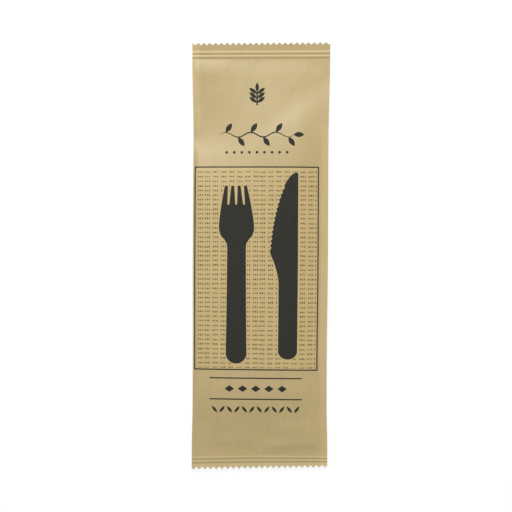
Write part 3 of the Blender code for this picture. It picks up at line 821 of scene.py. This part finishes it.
def curve(value, profile, span, count, height):
    """A curve node of this profile, which gives a width up to height over a span of depths."""
    node = value.tree.nodes.new("ShaderNodeFloatCurve")
    points = node.mapping.curves[0].points
    for i in range(count + 1):
        share = (i / count) ** PROFILE_CROWDING
        at = (share, profile(share * span) / height)
        if 0 < i < count:
            point = points.new(*at)
        else:
            point = points[0] if i == 0 else points[-1]
            point.location = at
        point.handle_type = "AUTO_CLAMPED"
    node.mapping.update()
    connect(value.tree, node.inputs["Value"], (value / span).math("MAXIMUM", 0.0))
    return Field(value.tree, node.outputs["Value"]) * height


class Group:
    """A shader node group in the making. Its inputs are fields, and give() sets an output."""

    def __init__(self, name, inputs, outputs):
        self.tree = bpy.data.node_groups.new(name, "ShaderNodeTree")
        for way, sockets in (("INPUT", inputs), ("OUTPUT", outputs)):
            for socket, kind in sockets:
                kind = "NodeSocket" + kind
                self.tree.interface.new_socket(name=socket, in_out=way, socket_type=kind)
        self.inside = self.tree.nodes.new("NodeGroupInput")
        self.outside = self.tree.nodes.new("NodeGroupOutput")

    def field(self, name):
        return Field(self.tree, self.inside.outputs[name])

    def fields(self, *names):
        return [self.field(name) for name in names]

    def give(self, name, value):
        connect(self.tree, self.outside.inputs[name], value)


def use_group(tree, group, **values):
    """Places a group in a tree. Each value goes to the input of that name, but for underscores."""
    node = tree.nodes.new("ShaderNodeGroup")
    node.node_tree = bpy.data.node_groups[group]
    for name, value in values.items():
        connect(tree, node.inputs[name.replace("_", " ")], value)
    return {socket.name: Field(tree, socket) for socket in node.outputs}


def noise_of(tree, place, grains, detail, offset):
    """Noise from 0 to 1 whose grains have these sizes across and along, in millimetres."""
    stretch = tree.nodes.new("ShaderNodeMapping")
    connect(tree, stretch.inputs["Vector"], place)
    stretch.inputs["Location"].default_value = (offset, offset, offset)
    stretch.inputs["Scale"].default_value = (1 / grains[0], 1 / grains[1], 1.0)
    node = tree.nodes.new("ShaderNodeTexNoise")
    node.noise_dimensions = "2D"
    tree.links.new(stretch.outputs["Vector"], node.inputs["Vector"])
    node.inputs["Scale"].default_value = 1.0
    node.inputs["Detail"].default_value = detail
    return Field(tree, node.outputs["Fac"])


# Printed shapes. Each group gives how far inside the shape's edge a place is, in millimetres

PLACE = (("Across", "Float"), ("Along", "Float"))
INSIDE = (("Inside", "Float"),)
PRINTED = ("Printed Fork", "Printed Knife", "Frame And Rules", "Printed Twigs", "Printed Rows")


def fork_half_width(depth):
    """Half the width of the printed fork, at a depth below its tips."""
    if depth < FORK_HEAD_LENGTH:
        share = 1 - (1 - depth / FORK_HEAD_LENGTH) ** FORK_HEAD_SWELL
        return (FORK_TIP_WIDTH + (FORK_HEAD_WIDTH - FORK_TIP_WIDTH) * share) / 2
    if depth < FORK_NECK_FROM_TIP:
        share = ease((depth - FORK_HEAD_LENGTH) / (FORK_NECK_FROM_TIP - FORK_HEAD_LENGTH))
        return (FORK_HEAD_WIDTH + (FORK_NECK_WIDTH - FORK_HEAD_WIDTH) * share) / 2
    share = (depth - FORK_NECK_FROM_TIP) / (FORK_LENGTH - FORK_NECK_FROM_TIP)
    return (FORK_NECK_WIDTH + (FORK_HANDLE_WIDTH - FORK_NECK_WIDTH) * share**FORK_HANDLE_FLARE) / 2


def blade_width(depth):
    """Width of the printed knife from its spine, at a depth below its tip."""
    if depth < BLADE_LENGTH:
        return BLADE_WIDTH * math.sqrt(1 - (1 - depth / BLADE_LENGTH) ** BLADE_CURVE)
    share = min(1.0, (depth - BLADE_LENGTH) / HEEL_LENGTH)
    return KNIFE_HANDLE_WIDTH + (BLADE_WIDTH - KNIFE_HANDLE_WIDTH) * (1 - share) ** HEEL_CURVE


def make_slot_group():
    """A gap between two tines, narrower and rounded at its root."""
    inputs = (("Off Centre", "Float"), ("Depth", "Float"), ("Spread", "Float"))
    group = Group("Gap Between Tines", inputs, INSIDE)
    off, depth, spread = group.fields("Off Centre", "Depth", "Spread")
    root = SLOT_ROOT_WIDTH / 2
    share = most(least(depth / (SLOT_DEPTH - root), 1.0), 0.0)
    centre = spread * (share * (SLOT_ROOT_SPACING - SLOT_SPACING) + SLOT_SPACING)
    half = share * (root - SLOT_WIDTH / 2) + SLOT_WIDTH / 2
    past_root = most(depth - (SLOT_DEPTH - root), 0.0)
    group.give("Inside", half - length_of(off - centre, past_root))


def make_fork_group():
    """A fork with four tines, head up: its body, less the gaps between the tines."""
    group = Group("Printed Fork", PLACE, INSIDE)
    depth = (PANEL_TOP - FORK_FROM_PANEL_TOP) - group.field("Along")
    lean = most(1 - depth / FORK_HEAD_LENGTH, 0.0) * FORK_TIP_LEAN
    off = abs(group.field("Across") + lean - FORK_ACROSS)
    radius = FORK_HANDLE_WIDTH / 2
    half = curve(depth, fork_half_width, FORK_LENGTH, *FORK_PROFILE)
    round_end = radius - length_of(off, most(depth - (FORK_LENGTH - radius), 0.0))
    above = most(1 - depth / TINE_ROUNDING, 0.0)
    flare = (1 - most(1 - above * above, 0.0).math("SQRT")) * (TINE_ROUNDING * TINE_FLARE)
    body = least(half - off - flare, depth + TINE_REACH)
    in_end = between(depth, FORK_LENGTH - radius - SHARP_STEP, FORK_LENGTH - radius)
    body = least(body, round_end * in_end + (1 - in_end) * FAR_INSIDE)
    gaps = []
    for spread in (0.0, 1.0):
        values = {"Off_Centre": off, "Depth": depth, "Spread": spread}
        gaps.append(-(use_group(group.tree, "Gap Between Tines", **values)["Inside"] + flare))
    group.give("Inside", least(body, *gaps))


def make_knife_group():
    """A knife, point up, with its straight spine on the right and a serrated edge on the left."""
    group = Group("Printed Knife", PLACE, INSIDE)
    from_spine = KNIFE_SPINE_ACROSS - group.field("Across")
    depth = (PANEL_TOP - KNIFE_FROM_PANEL_TOP) - group.field("Along")
    width = curve(depth, blade_width, KNIFE_LENGTH, *KNIFE_PROFILE)
    bites = abs(((depth - PLAIN_EDGE) * (math.pi / SERRATION_PITCH)).math("SINE")) * SERRATION_DEPTH
    serrated = between(depth, PLAIN_EDGE - SMALL_STEP, PLAIN_EDGE)
    serrations = int((BLADE_LENGTH - PLAIN_EDGE) / SERRATION_PITCH)
    past_last = PLAIN_EDGE + serrations * SERRATION_PITCH
    serrated = serrated * between(depth, past_last + FINE_STEP, past_last)
    edge = width - bites * serrated - from_spine
    half = KNIFE_HANDLE_WIDTH / 2
    past_end = most(depth - (KNIFE_LENGTH - KNIFE_END_ROUNDING), 0.0) * (half / KNIFE_END_ROUNDING)
    in_end = between(past_end, 0.0, SHARP_STEP)
    round_end = half - length_of(from_spine - half, past_end)
    tip = KNIFE_TIP_ROUNDING
    round_tip = tip - length_of(most(tip - from_spine, 0.0), most(tip - depth, 0.0))
    body_end = round_end * in_end + (1 - in_end) * FAR_INSIDE
    group.give("Inside", least(edge, from_spine, round_tip, body_end))


def make_lines_group():
    """The panel's frame and the two rules under it."""
    group = Group("Frame And Rules", PLACE, INSIDE)
    across, along = group.fields("Across", "Along")
    half = LINE_WIDTH / 2
    wide, tall = PANEL_RIGHT - PANEL_LEFT - LINE_WIDTH, PANEL_TOP - PANEL_BOTTOM - LINE_WIDTH
    sideways = abs(across - (PANEL_LEFT + PANEL_RIGHT) / 2) - wide / 2
    lengthways = abs(along - (PANEL_TOP + PANEL_BOTTOM) / 2) - tall / 2
    outline = half - abs(most(sideways, lengthways))
    upper, lower = (PANEL_BOTTOM - drop for drop in RULE_BELOW_PANEL)
    off_rule = abs(abs(along - (upper + lower) / 2) - (upper - lower) / 2)
    rule = least(RULE_LENGTH / 2 - abs(across - PRINT_OFFSET), half - off_rule)
    group.give("Inside", most(outline, rule))


def make_leaf_group():
    """A pointed leaf that grows from its base at this slope, in degrees."""
    names = ("Across", "Along", "Base Across", "Base Along", "Slope", "Length", "Width")
    group = Group("Printed Leaf", [(name, "Float") for name in names], INSIDE)
    across, along, base_across, base_along, slope, length, width = group.fields(*names)
    x, y = across - base_across, along - base_along
    turn = slope.math("RADIANS")
    cosine, sine = turn.math("COSINE"), turn.math("SINE")
    run, rise = x * cosine + y * sine, abs(y * cosine - x * sine)
    share = run / length
    half = (most(least(share, 1.0), 0.0) * math.pi).math("SINE") * width / 2
    vein = between(rise, 0.0, VEIN_HALF_WIDTH, VEIN_DEPTH, 0.0)
    vein = vein * between(share, *VEIN_START) * between(share, *VEIN_END)
    group.give("Inside", least(half - rise, run, length - run) - vein)


def leaf(tree, across, along, base, size, slope):
    """Places a leaf of this length and width, and gives how far inside it a place is."""
    made = use_group(
        tree,
        "Printed Leaf",
        Across=across,
        Along=along,
        Base_Across=base[0],
        Base_Along=base[1],
        Slope=slope,
        Length=size[0],
        Width=size[1],
    )
    return made["Inside"]


def make_twigs_group():
    """An upright twig and a lying one, in the places of the headings."""
    group = Group("Printed Twigs", PLACE, INSIDE)
    tree = group.tree
    across, along = group.fields("Across", "Along")
    off = abs(across - PRINT_OFFSET)
    foot = HALF_LENGTH_MM - SPRIG_FOOT_FROM_HEAD
    half = STEM_WIDTH / 2
    found = [least(half - off, along - foot, foot + SPRIG_STEM - along)]
    found.append(leaf(tree, off, along, (0.0, foot + SPRIG_STEM - half), SPRIG_LEAVES, 90))
    for i in range(SPRIG_PAIRS):
        base = (0.0, foot + SPRIG_STEM * (i + 0.5) / SPRIG_PAIRS)
        found.append(leaf(tree, off, along, base, SPRIG_LEAVES, SPRIG_SPREAD))

    middle = HALF_LENGTH_MM - BRANCH_FROM_HEAD
    start, bend = PRINT_OFFSET - BRANCH_LENGTH / 2, BRANCH_LENGTH / BRANCH_BENDS
    run, rise = across - start, along - middle
    in_reach = least(run, BRANCH_LENGTH - run)
    swing = (run * (math.pi / bend)).math("SINE") * (BRANCH_SWING / 2)
    taper = most((run * (math.pi / BRANCH_LENGTH)).math("SINE"), 0.0).math("SQRT")
    found.append(least(taper * half - abs(rise - swing), in_reach))
    tip = (PRINT_OFFSET + BRANCH_LENGTH / 2 - STEM_WIDTH, middle)
    found.append(leaf(tree, across, along, tip, BRANCH_LEAVES, 0))
    lead = bend * BRANCH_LEAF_LEAD
    shifted = run - lead
    past_bend = shifted.wrapped(bend, 0.0) + (lead - bend / 2)
    flip = ((shifted / bend).math("FLOOR").math("MODULO", 2.0) * -2) + 1
    base = (0.0, BRANCH_SWING / 2)
    bend_leaf = leaf(tree, past_bend, rise * flip, base, BRANCH_LEAVES, BRANCH_SPREAD)
    found.append(least(bend_leaf, in_reach))
    group.give("Inside", most(*found))


def make_rows_group():
    """Rows of dots, lozenges and leaves, in the places of the small lines."""
    group = Group("Printed Rows", PLACE, INSIDE)
    tree = group.tree
    across, along = group.fields("Across", "Along")
    off = across - PRINT_OFFSET

    def repeated(count, pitch):
        """The way across from the nearest shape of a centred row, and how far inside the row."""
        start = count * pitch / 2
        return (off + start).wrapped(pitch, 0.0) - pitch / 2, start - abs(off)

    near, in_row = repeated(DOT_COUNT, DOT_PITCH)
    dots_along = HALF_LENGTH_MM - DOT_ROW_FROM_HEAD
    found = [least(DOT_DIAMETER / 2 - length_of(near, along - dots_along), in_row)]

    near, in_row = repeated(LOZENGE_COUNT, LOZENGE_PITCH)
    wide, tall = LOZENGE_SIZE[0] / 2, LOZENGE_SIZE[1] / 2
    from_middle = along - (PANEL_BOTTOM - sum(RULE_BELOW_PANEL) / 2)
    slanted = 1 - abs(near) / wide - abs(from_middle) / tall
    found.append(least(slanted * (wide * tall / math.hypot(wide, tall)), in_row))

    near, in_row = repeated(LEAF_ROW_COUNT / 2, 2 * LEAF_ROW_PITCH)
    lean = math.radians(LEAF_ROW_SLOPE)
    middle = PANEL_BOTTOM - RULE_BELOW_PANEL[1] - LEAF_ROW_BELOW_RULE
    base_across = LEAF_ROW_PITCH / 2 - LEAF_ROW_LEAVES[0] / 2 * math.cos(lean)
    base = (base_across, middle - LEAF_ROW_LEAVES[0] / 2 * math.sin(lean))
    row_leaf = leaf(tree, abs(near), along, base, LEAF_ROW_LEAVES, LEAF_ROW_SLOPE)
    found.append(least(row_leaf, in_row))
    group.give("Inside", most(*found))


def make_print_group():
    """All shapes printed in the one ink."""
    group = Group("Printed Shapes", PLACE, INSIDE)
    across, along = group.fields("Across", "Along")
    found = []
    for name in PRINTED:
        found.append(use_group(group.tree, name, Across=across, Along=along)["Inside"])
    group.give("Inside", most(*found))


def make_panel_dots_group():
    """Threes of small dots that fill the panel and keep clear of the ink."""
    inputs = (*PLACE, ("Inside", "Float"), ("Place", "Vector"))
    group = Group("Panel Dots", inputs, (("Mask", "Float"), ("Panel", "Float")))
    across, along = group.fields("Across", "Along")
    place = group.field("Place")
    drift = noise_of(group.tree, place, *ROW_DRIFT_NOISE) - 0.5
    sway = noise_of(group.tree, place, *SWAY_NOISE) - 0.5
    below = PANEL_TOP - DOTS_BELOW_PANEL_TOP - along + drift * DOTS_ROW_DRIFT
    off_row = (below + DOTS_ROW_PITCH / 2).wrapped(DOTS_ROW_PITCH, 0.0) - DOTS_ROW_PITCH / 2
    in_repeat = (across - DOTS_LEFT + sway * DOTS_SWAY).wrapped(DOTS_REPEAT, 0.0)
    in_three = in_repeat.wrapped(DOTS_THREE_PITCH, 0.0)
    third = least((in_three / DOTS_PITCH).math("FLOOR"), 3.0)
    off_dot = in_three - third * DOTS_PITCH - DOTS_PITCH / 2
    wide, tall = DOTS_SIZE[0] / 2, DOTS_SIZE[1] / 2
    round_off = length_of(off_dot / wide, off_row / tall)
    dot = between(round_off, *DOTS_EDGE) * between(third, *BEFORE_GAP)
    strength = noise_of(group.tree, place, *STRENGTH_NOISE)
    dot = dot * between(strength, *DOTS_STRENGTH, DOTS_FAINTEST, 1.0)
    in_width = least(across - PANEL_LEFT, PANEL_RIGHT - across)
    in_panel = least(in_width, PANEL_TOP - along, along - PANEL_BOTTOM)
    clear_of_ink = -DOTS_CLEARANCE - DOTS_CLEARANCE_RUN
    off_ink = between(group.field("Inside"), -DOTS_CLEARANCE, clear_of_ink)
    group.give("Mask", dot * off_ink * between(in_panel, *DOTS_FRAME_GAP))
    group.give("Panel", between(in_panel, *TINT_FRAME_GAP))


def make_ink_group():
    """Where ink covers the paper: its edge follows the fibres, and it misses a few specks."""
    group = Group("Ink Cover", (("Inside", "Float"), ("Place", "Vector")), (("Mask", "Float"),))
    place = group.field("Place")
    wobble = (noise_of(group.tree, place, *INK_WOBBLE_NOISE) - 0.5) * INK_WOBBLE
    cover = between(group.field("Inside") + wobble, -INK_EDGE, INK_EDGE)
    specks = noise_of(group.tree, place, *SPECK_NOISE)
    group.give("Mask", cover * between(specks, *INK_SPECKS, INK_THINNEST, 1.0))


# Paper


def make_kraft_group():
    """Kraft paper: fibre streaks, cloudy formation, dark and pale fibres, and its small relief."""
    inputs = (("Place", "Vector"), ("Paper", "Color"), ("Streaks", "Float"))
    outputs = (("Colour", "Color"), ("Roughness", "Float"), ("Height", "Float"))
    group = Group("Kraft Paper", inputs, outputs)
    tree, place = group.tree, group.field("Place")
    cloud = noise_of(tree, place, *CLOUD_NOISE) - 0.5
    grain = noise_of(tree, place, *GRAIN_NOISE) - 0.5
    streak = noise_of(tree, place, *STREAK_NOISE) - 0.5
    dark_fibre = between(noise_of(tree, place, *DARK_FIBRE_NOISE), *DARK_FIBRES)
    cross_fibre = between(noise_of(tree, place, *CROSS_FIBRE_NOISE), *OTHER_FIBRES)
    pale_fibre = between(noise_of(tree, place, *PALE_FIBRE_NOISE), *OTHER_FIBRES)
    shade = 1 + cloud * CLOUD_SHADE + grain * GRAIN_SHADE + streak * group.field("Streaks")
    shade = shade - dark_fibre * DARK_SHADE - cross_fibre * CROSS_SHADE + pale_fibre * PALE_SHADE
    tint = tree.nodes.new("ShaderNodeVectorMath")
    tint.operation = "SCALE"
    connect(tree, tint.inputs[0], group.field("Paper"))
    connect(tree, tint.inputs["Scale"], shade)
    group.give("Colour", Field(tree, tint.outputs["Vector"]))
    rough = PAPER_ROUGHNESS + grain * GRAIN_ROUGHNESS + streak * STREAK_ROUGHNESS
    group.give("Roughness", rough)
    height = grain * GRAIN_HEIGHT + streak * STREAK_HEIGHT + cloud * CLOUD_HEIGHT
    group.give("Height", height + (dark_fibre + pale_fibre) * FIBRE_HEIGHT)


def new_material(name):
    """A material with an empty node tree."""
    material = bpy.data.materials.new(name)
    material.use_nodes = True
    material.node_tree.nodes.clear()
    return material, material.node_tree


def flat_place(tree):
    """The place on the flat paper in millimetres, read from the piece's own map."""
    flat = tree.nodes.new("ShaderNodeUVMap")
    flat.uv_map = MAP_NAME
    to_mm = tree.nodes.new("ShaderNodeMapping")
    tree.links.new(flat.outputs["UV"], to_mm.inputs["Vector"])
    span = MAP_SPAN / MM
    to_mm.inputs["Scale"].default_value = (span, span, 1.0)
    corner = (-FRONT_U * span - HALF_WIDTH_MM, -FOOT_V * span - HALF_LENGTH_MM, 0)
    to_mm.inputs["Location"].default_value = corner
    apart = tree.nodes.new("ShaderNodeSeparateXYZ")
    tree.links.new(to_mm.outputs["Vector"], apart.inputs["Vector"])
    outputs = (to_mm.outputs["Vector"], apart.outputs["X"], apart.outputs["Y"])
    return tuple(Field(tree, output) for output in outputs)


def blend(tree, share, first, second):
    """Mixes two colours: the share is that of the second."""
    node = tree.nodes.new("ShaderNodeMix")
    node.data_type = "RGBA"
    slots = [socket for socket in node.inputs if socket.type == "RGBA"]
    connect(tree, node.inputs["Factor"], share)
    connect(tree, slots[0], first)
    connect(tree, slots[1], second)
    return Field(tree, next(socket for socket in node.outputs if socket.enabled))


def paper_shader(tree, colour, roughness, height):
    """Adds the shader of both papers, with the fibres' relief as a bump."""
    shader = tree.nodes.new("ShaderNodeBsdfPrincipled")
    shader.inputs["Specular IOR Level"].default_value = PAPER_GLOSS
    output = tree.nodes.new("ShaderNodeOutputMaterial")
    bump = tree.nodes.new("ShaderNodeBump")
    bump.inputs["Strength"].default_value = RELIEF_STRENGTH
    bump.inputs["Distance"].default_value = PAPER_RELIEF
    connect(tree, bump.inputs["Height"], height)
    connect(tree, shader.inputs["Base Color"], colour)
    connect(tree, shader.inputs["Roughness"], roughness)
    tree.links.new(bump.outputs["Normal"], shader.inputs["Normal"])
    tree.links.new(shader.outputs["BSDF"], output.inputs["Surface"])


def printed_kraft(paper):
    """The sleeve's paper with its print."""
    material, tree = new_material("printed_kraft_paper")
    place, across, along = flat_place(tree)
    shapes = use_group(tree, "Printed Shapes", Across=across, Along=along)["Inside"]
    panel = use_group(tree, "Panel Dots", Across=across, Along=along, Inside=shapes, Place=place)
    ink = use_group(tree, "Ink Cover", Inside=shapes, Place=place)["Mask"]
    # Painted highlight: paler paper along the side folds, where they catch the light
    from_fold = HALF_WIDTH_MM - abs(across)
    by_fold = between(from_fold, FOLD_HIGHLIGHT_FROM, FOLD_HIGHLIGHT_FULL) * between(from_fold, *FRONT_REACH)
    on_left = between(across, SMALL_STEP, -SMALL_STEP)
    in_head = between(along, *FOLD_HIGHLIGHT_TURN)
    fold_highlight = by_fold * (on_left * in_head + (1 - on_left) * (1 - in_head))
    bare = blend(tree, fold_highlight, tuple(paper.kraft), FOLD_HIGHLIGHT_PAPER)
    tint = blend(tree, panel["Panel"], bare, tuple(paper.panel_tint))
    kraft = use_group(tree, "Kraft Paper", Place=place, Paper=tint, Streaks=PRINTED_STREAKS)
    colour = blend(tree, panel["Mask"] * DOTS_COVER, kraft["Colour"], tuple(paper.dots))
    colour = blend(tree, ink * INK_COVER, colour, tuple(paper.ink))
    roughness = kraft["Roughness"] + ink * INK_ROUGHNESS
    height = kraft["Height"] * (1 - ink * INK_SMOOTHING)
    paper_shader(tree, colour, roughness, height)
    return material


def plain_kraft(paper):
    """Unprinted paper of the fin seam."""
    material, tree = new_material("plain_kraft_paper")
    place, _, _ = flat_place(tree)
    colour = tuple(paper.kraft)
    kraft = use_group(tree, "Kraft Paper", Place=place, Paper=colour, Streaks=PLAIN_STREAKS)
    paper_shader(tree, kraft["Colour"], kraft["Roughness"], kraft["Height"])
    return material


# In this order, because a group is made before those that use it
MAKERS = (
    make_slot_group,
    make_fork_group,
    make_knife_group,
    make_lines_group,
    make_leaf_group,
    make_twigs_group,
    make_rows_group,
    make_print_group,
    make_panel_dots_group,
    make_ink_group,
    make_kraft_group,
)


# Operators


class SACHET_OT_materials(bpy.types.Operator):
    """Make the node groups and the two papers"""

    bl_idname = "sachet.materials"
    bl_label = "Paper And Print"

    def execute(self, context):
        for make in MAKERS:
            make()
        paper = context.scene.sachet_paper
        printed_kraft(paper)
        plain_kraft(paper)
        return {"FINISHED"}


class SACHET_OT_sleeve(bpy.types.Operator):
    """Make the crimped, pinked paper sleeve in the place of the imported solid"""

    bl_idname = "sachet.sleeve"
    bl_label = "Paper Sleeve"

    def execute(self, context):
        paper = context.scene.sachet_paper
        columns, rows = columns_between(-HALF_WIDTH, HALF_WIDTH), row_places()
        creases = pleats()
        for (x0, y0), (x1, y1), height, half_width in CREASES:
            ends = ((x0 * MM, y0 * MM), (x1 * MM, y1 * MM))
            creases.append((*ends, height * MM, half_width * MM))

        def front(across, along):
            height = front_height(across, along, paper.rib_height)
            return height + front_relief(across, along, paper, creases)

        def back(across, along):
            return back_height(across, along, paper.rib_height) + back_relief(across, along, paper)

        sleeve = slab("paper_sleeve", columns, rows)
        form(sleeve, columns, rows, front, back)
        finish_piece(sleeve, bpy.data.materials["printed_kraft_paper"])
        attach(sleeve, "root")
        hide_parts("paper_pouch")
        return {"FINISHED"}


class SACHET_OT_fin_seam(bpy.types.Operator):
    """Make the lengthwise fin seam, folded flat against the back"""

    bl_idname = "sachet.fin_seam"
    bl_label = "Fin Seam"

    def execute(self, context):
        paper = context.scene.sachet_paper
        columns, rows = columns_between(FIN_ROOT, FIN_FREE), row_places()

        def against_sleeve(across, along):
            return back_height(across, along, paper.rib_height) + FIN_BITE

        def free_face(across, along):
            return back_height(across, along, paper.rib_height) - 2 * LAYER

        fin = slab("fin_seam", columns, rows)
        form(fin, columns, rows, against_sleeve, free_face)
        finish_piece(fin, bpy.data.materials["plain_kraft_paper"])
        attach(fin, "root")
        return {"FINISHED"}


def floor_material(colour):
    """A plain surface that the camera sees nearly white, and that keeps shadows."""
    material, tree = new_material("studio_floor")
    bare = tree.nodes.new("ShaderNodeBsdfDiffuse")
    bare.inputs["Color"].default_value = colour
    white = tree.nodes.new("ShaderNodeEmission")
    white.inputs["Color"].default_value = WHITE
    white.inputs["Strength"].default_value = FLOOR_SEEN_WHITE
    path = tree.nodes.new("ShaderNodeLightPath")
    mix = tree.nodes.new("ShaderNodeMixShader")
    output = tree.nodes.new("ShaderNodeOutputMaterial")
    seen = Field(tree, path.outputs["Is Camera Ray"])
    connect(tree, mix.inputs[0], seen * FLOOR_SEEN_SHARE)
    tree.links.new(bare.outputs[0], mix.inputs[1])
    tree.links.new(white.outputs[0], mix.inputs[2])
    tree.links.new(mix.outputs[0], output.inputs["Surface"])
    return material


def soft_lamp(name, place, size, power):
    """A wide lamp at this place that faces the sachet."""
    lamp = bpy.data.lights.new(name, "AREA")
    lamp.shape = "RECTANGLE"
    lamp.size, lamp.size_y = size
    lamp.energy = power
    stand = bpy.data.objects.new(name, lamp)
    stand.location = place
    stand.rotation_euler = (-stand.location).to_track_quat("-Z", "Y").to_euler()
    bpy.context.scene.collection.objects.link(stand)


class SACHET_OT_stage(bpy.types.Operator):
    """Make the floor, the lamps, the sky and the camera"""

    bl_idname = "sachet.stage"
    bl_label = "Studio"

    def execute(self, context):
        scene = context.scene
        stage = scene.sachet_stage
        bpy.ops.object.select_all(action="DESELECT")
        bpy.ops.mesh.primitive_plane_add(size=FLOOR_SIZE, location=(0, 0, 0))
        floor = bpy.context.object
        floor.name = "floor"
        floor.data.materials.append(floor_material(tuple(stage.floor_colour)))

        soft_lamp("key_lamp", KEY_LAMP_PLACE, KEY_LAMP_SIZE, stage.key_power)

        world = bpy.data.worlds.new("studio_sky")
        world.use_nodes = True
        tree = world.node_tree
        tree.nodes.clear()
        sky = tree.nodes.new("ShaderNodeBackground")
        path = tree.nodes.new("ShaderNodeLightPath")
        output = tree.nodes.new("ShaderNodeOutputWorld")
        seen = Field(tree, path.outputs["Is Camera Ray"])
        connect(tree, sky.inputs["Strength"], seen * (1 - stage.sky_strength) + stage.sky_strength)
        tree.links.new(sky.outputs[0], output.inputs["Surface"])
        sky.inputs["Color"].default_value = WHITE
        scene.world = world

        lens = bpy.data.cameras.new("camera")
        lens.lens, lens.sensor_width = CAMERA_LENS, CAMERA_SENSOR
        lens.clip_start, lens.clip_end = CAMERA_CLIP
        camera = bpy.data.objects.new("camera", lens)
        camera.location = (CAMERA_ACROSS, CAMERA_ALONG, stage.camera_height)
        camera.rotation_euler = (0.0, 0.0, stage.camera_turn)
        scene.collection.objects.link(camera)
        scene.camera = camera
        scene.view_settings.view_transform = "Standard"
        return {"FINISHED"}


class SACHET_PT_panel(bpy.types.Panel):
    """Lists the settings and the steps"""

    bl_label = "Paper Cutlery Sachet"
    bl_idname = "SACHET_PT_panel"
    bl_space_type = "VIEW_3D"
    bl_region_type = "UI"
    bl_category = "Sachet"

    def draw(self, context):
        for settings in (context.scene.sachet_paper, context.scene.sachet_stage):
            box = self.layout.box()
            for name in settings.__annotations__:
                box.prop(settings, name)
        for step in STEPS:
            self.layout.operator(step.bl_idname)


STEPS = (SACHET_OT_materials, SACHET_OT_sleeve, SACHET_OT_fin_seam, SACHET_OT_stage)
CLASSES = (SachetPaperSettings, SachetStageSettings, *STEPS, SACHET_PT_panel)


def register():
    """Registers the classes and their settings."""
    for cls in CLASSES:
        bpy.utils.register_class(cls)
    bpy.types.Scene.sachet_paper = bpy.props.PointerProperty(type=SachetPaperSettings)
    bpy.types.Scene.sachet_stage = bpy.props.PointerProperty(type=SachetStageSettings)


def unregister():
    del bpy.types.Scene.sachet_stage
    del bpy.types.Scene.sachet_paper
    for cls in reversed(CLASSES):
        bpy.utils.unregister_class(cls)


def main():
    """Builds the sachet and the studio."""
    register()
    bpy.ops.sachet.materials()
    bpy.ops.sachet.sleeve()
    bpy.ops.sachet.fin_seam()
    bpy.ops.sachet.stage()


if __name__ == "__main__":
    main()
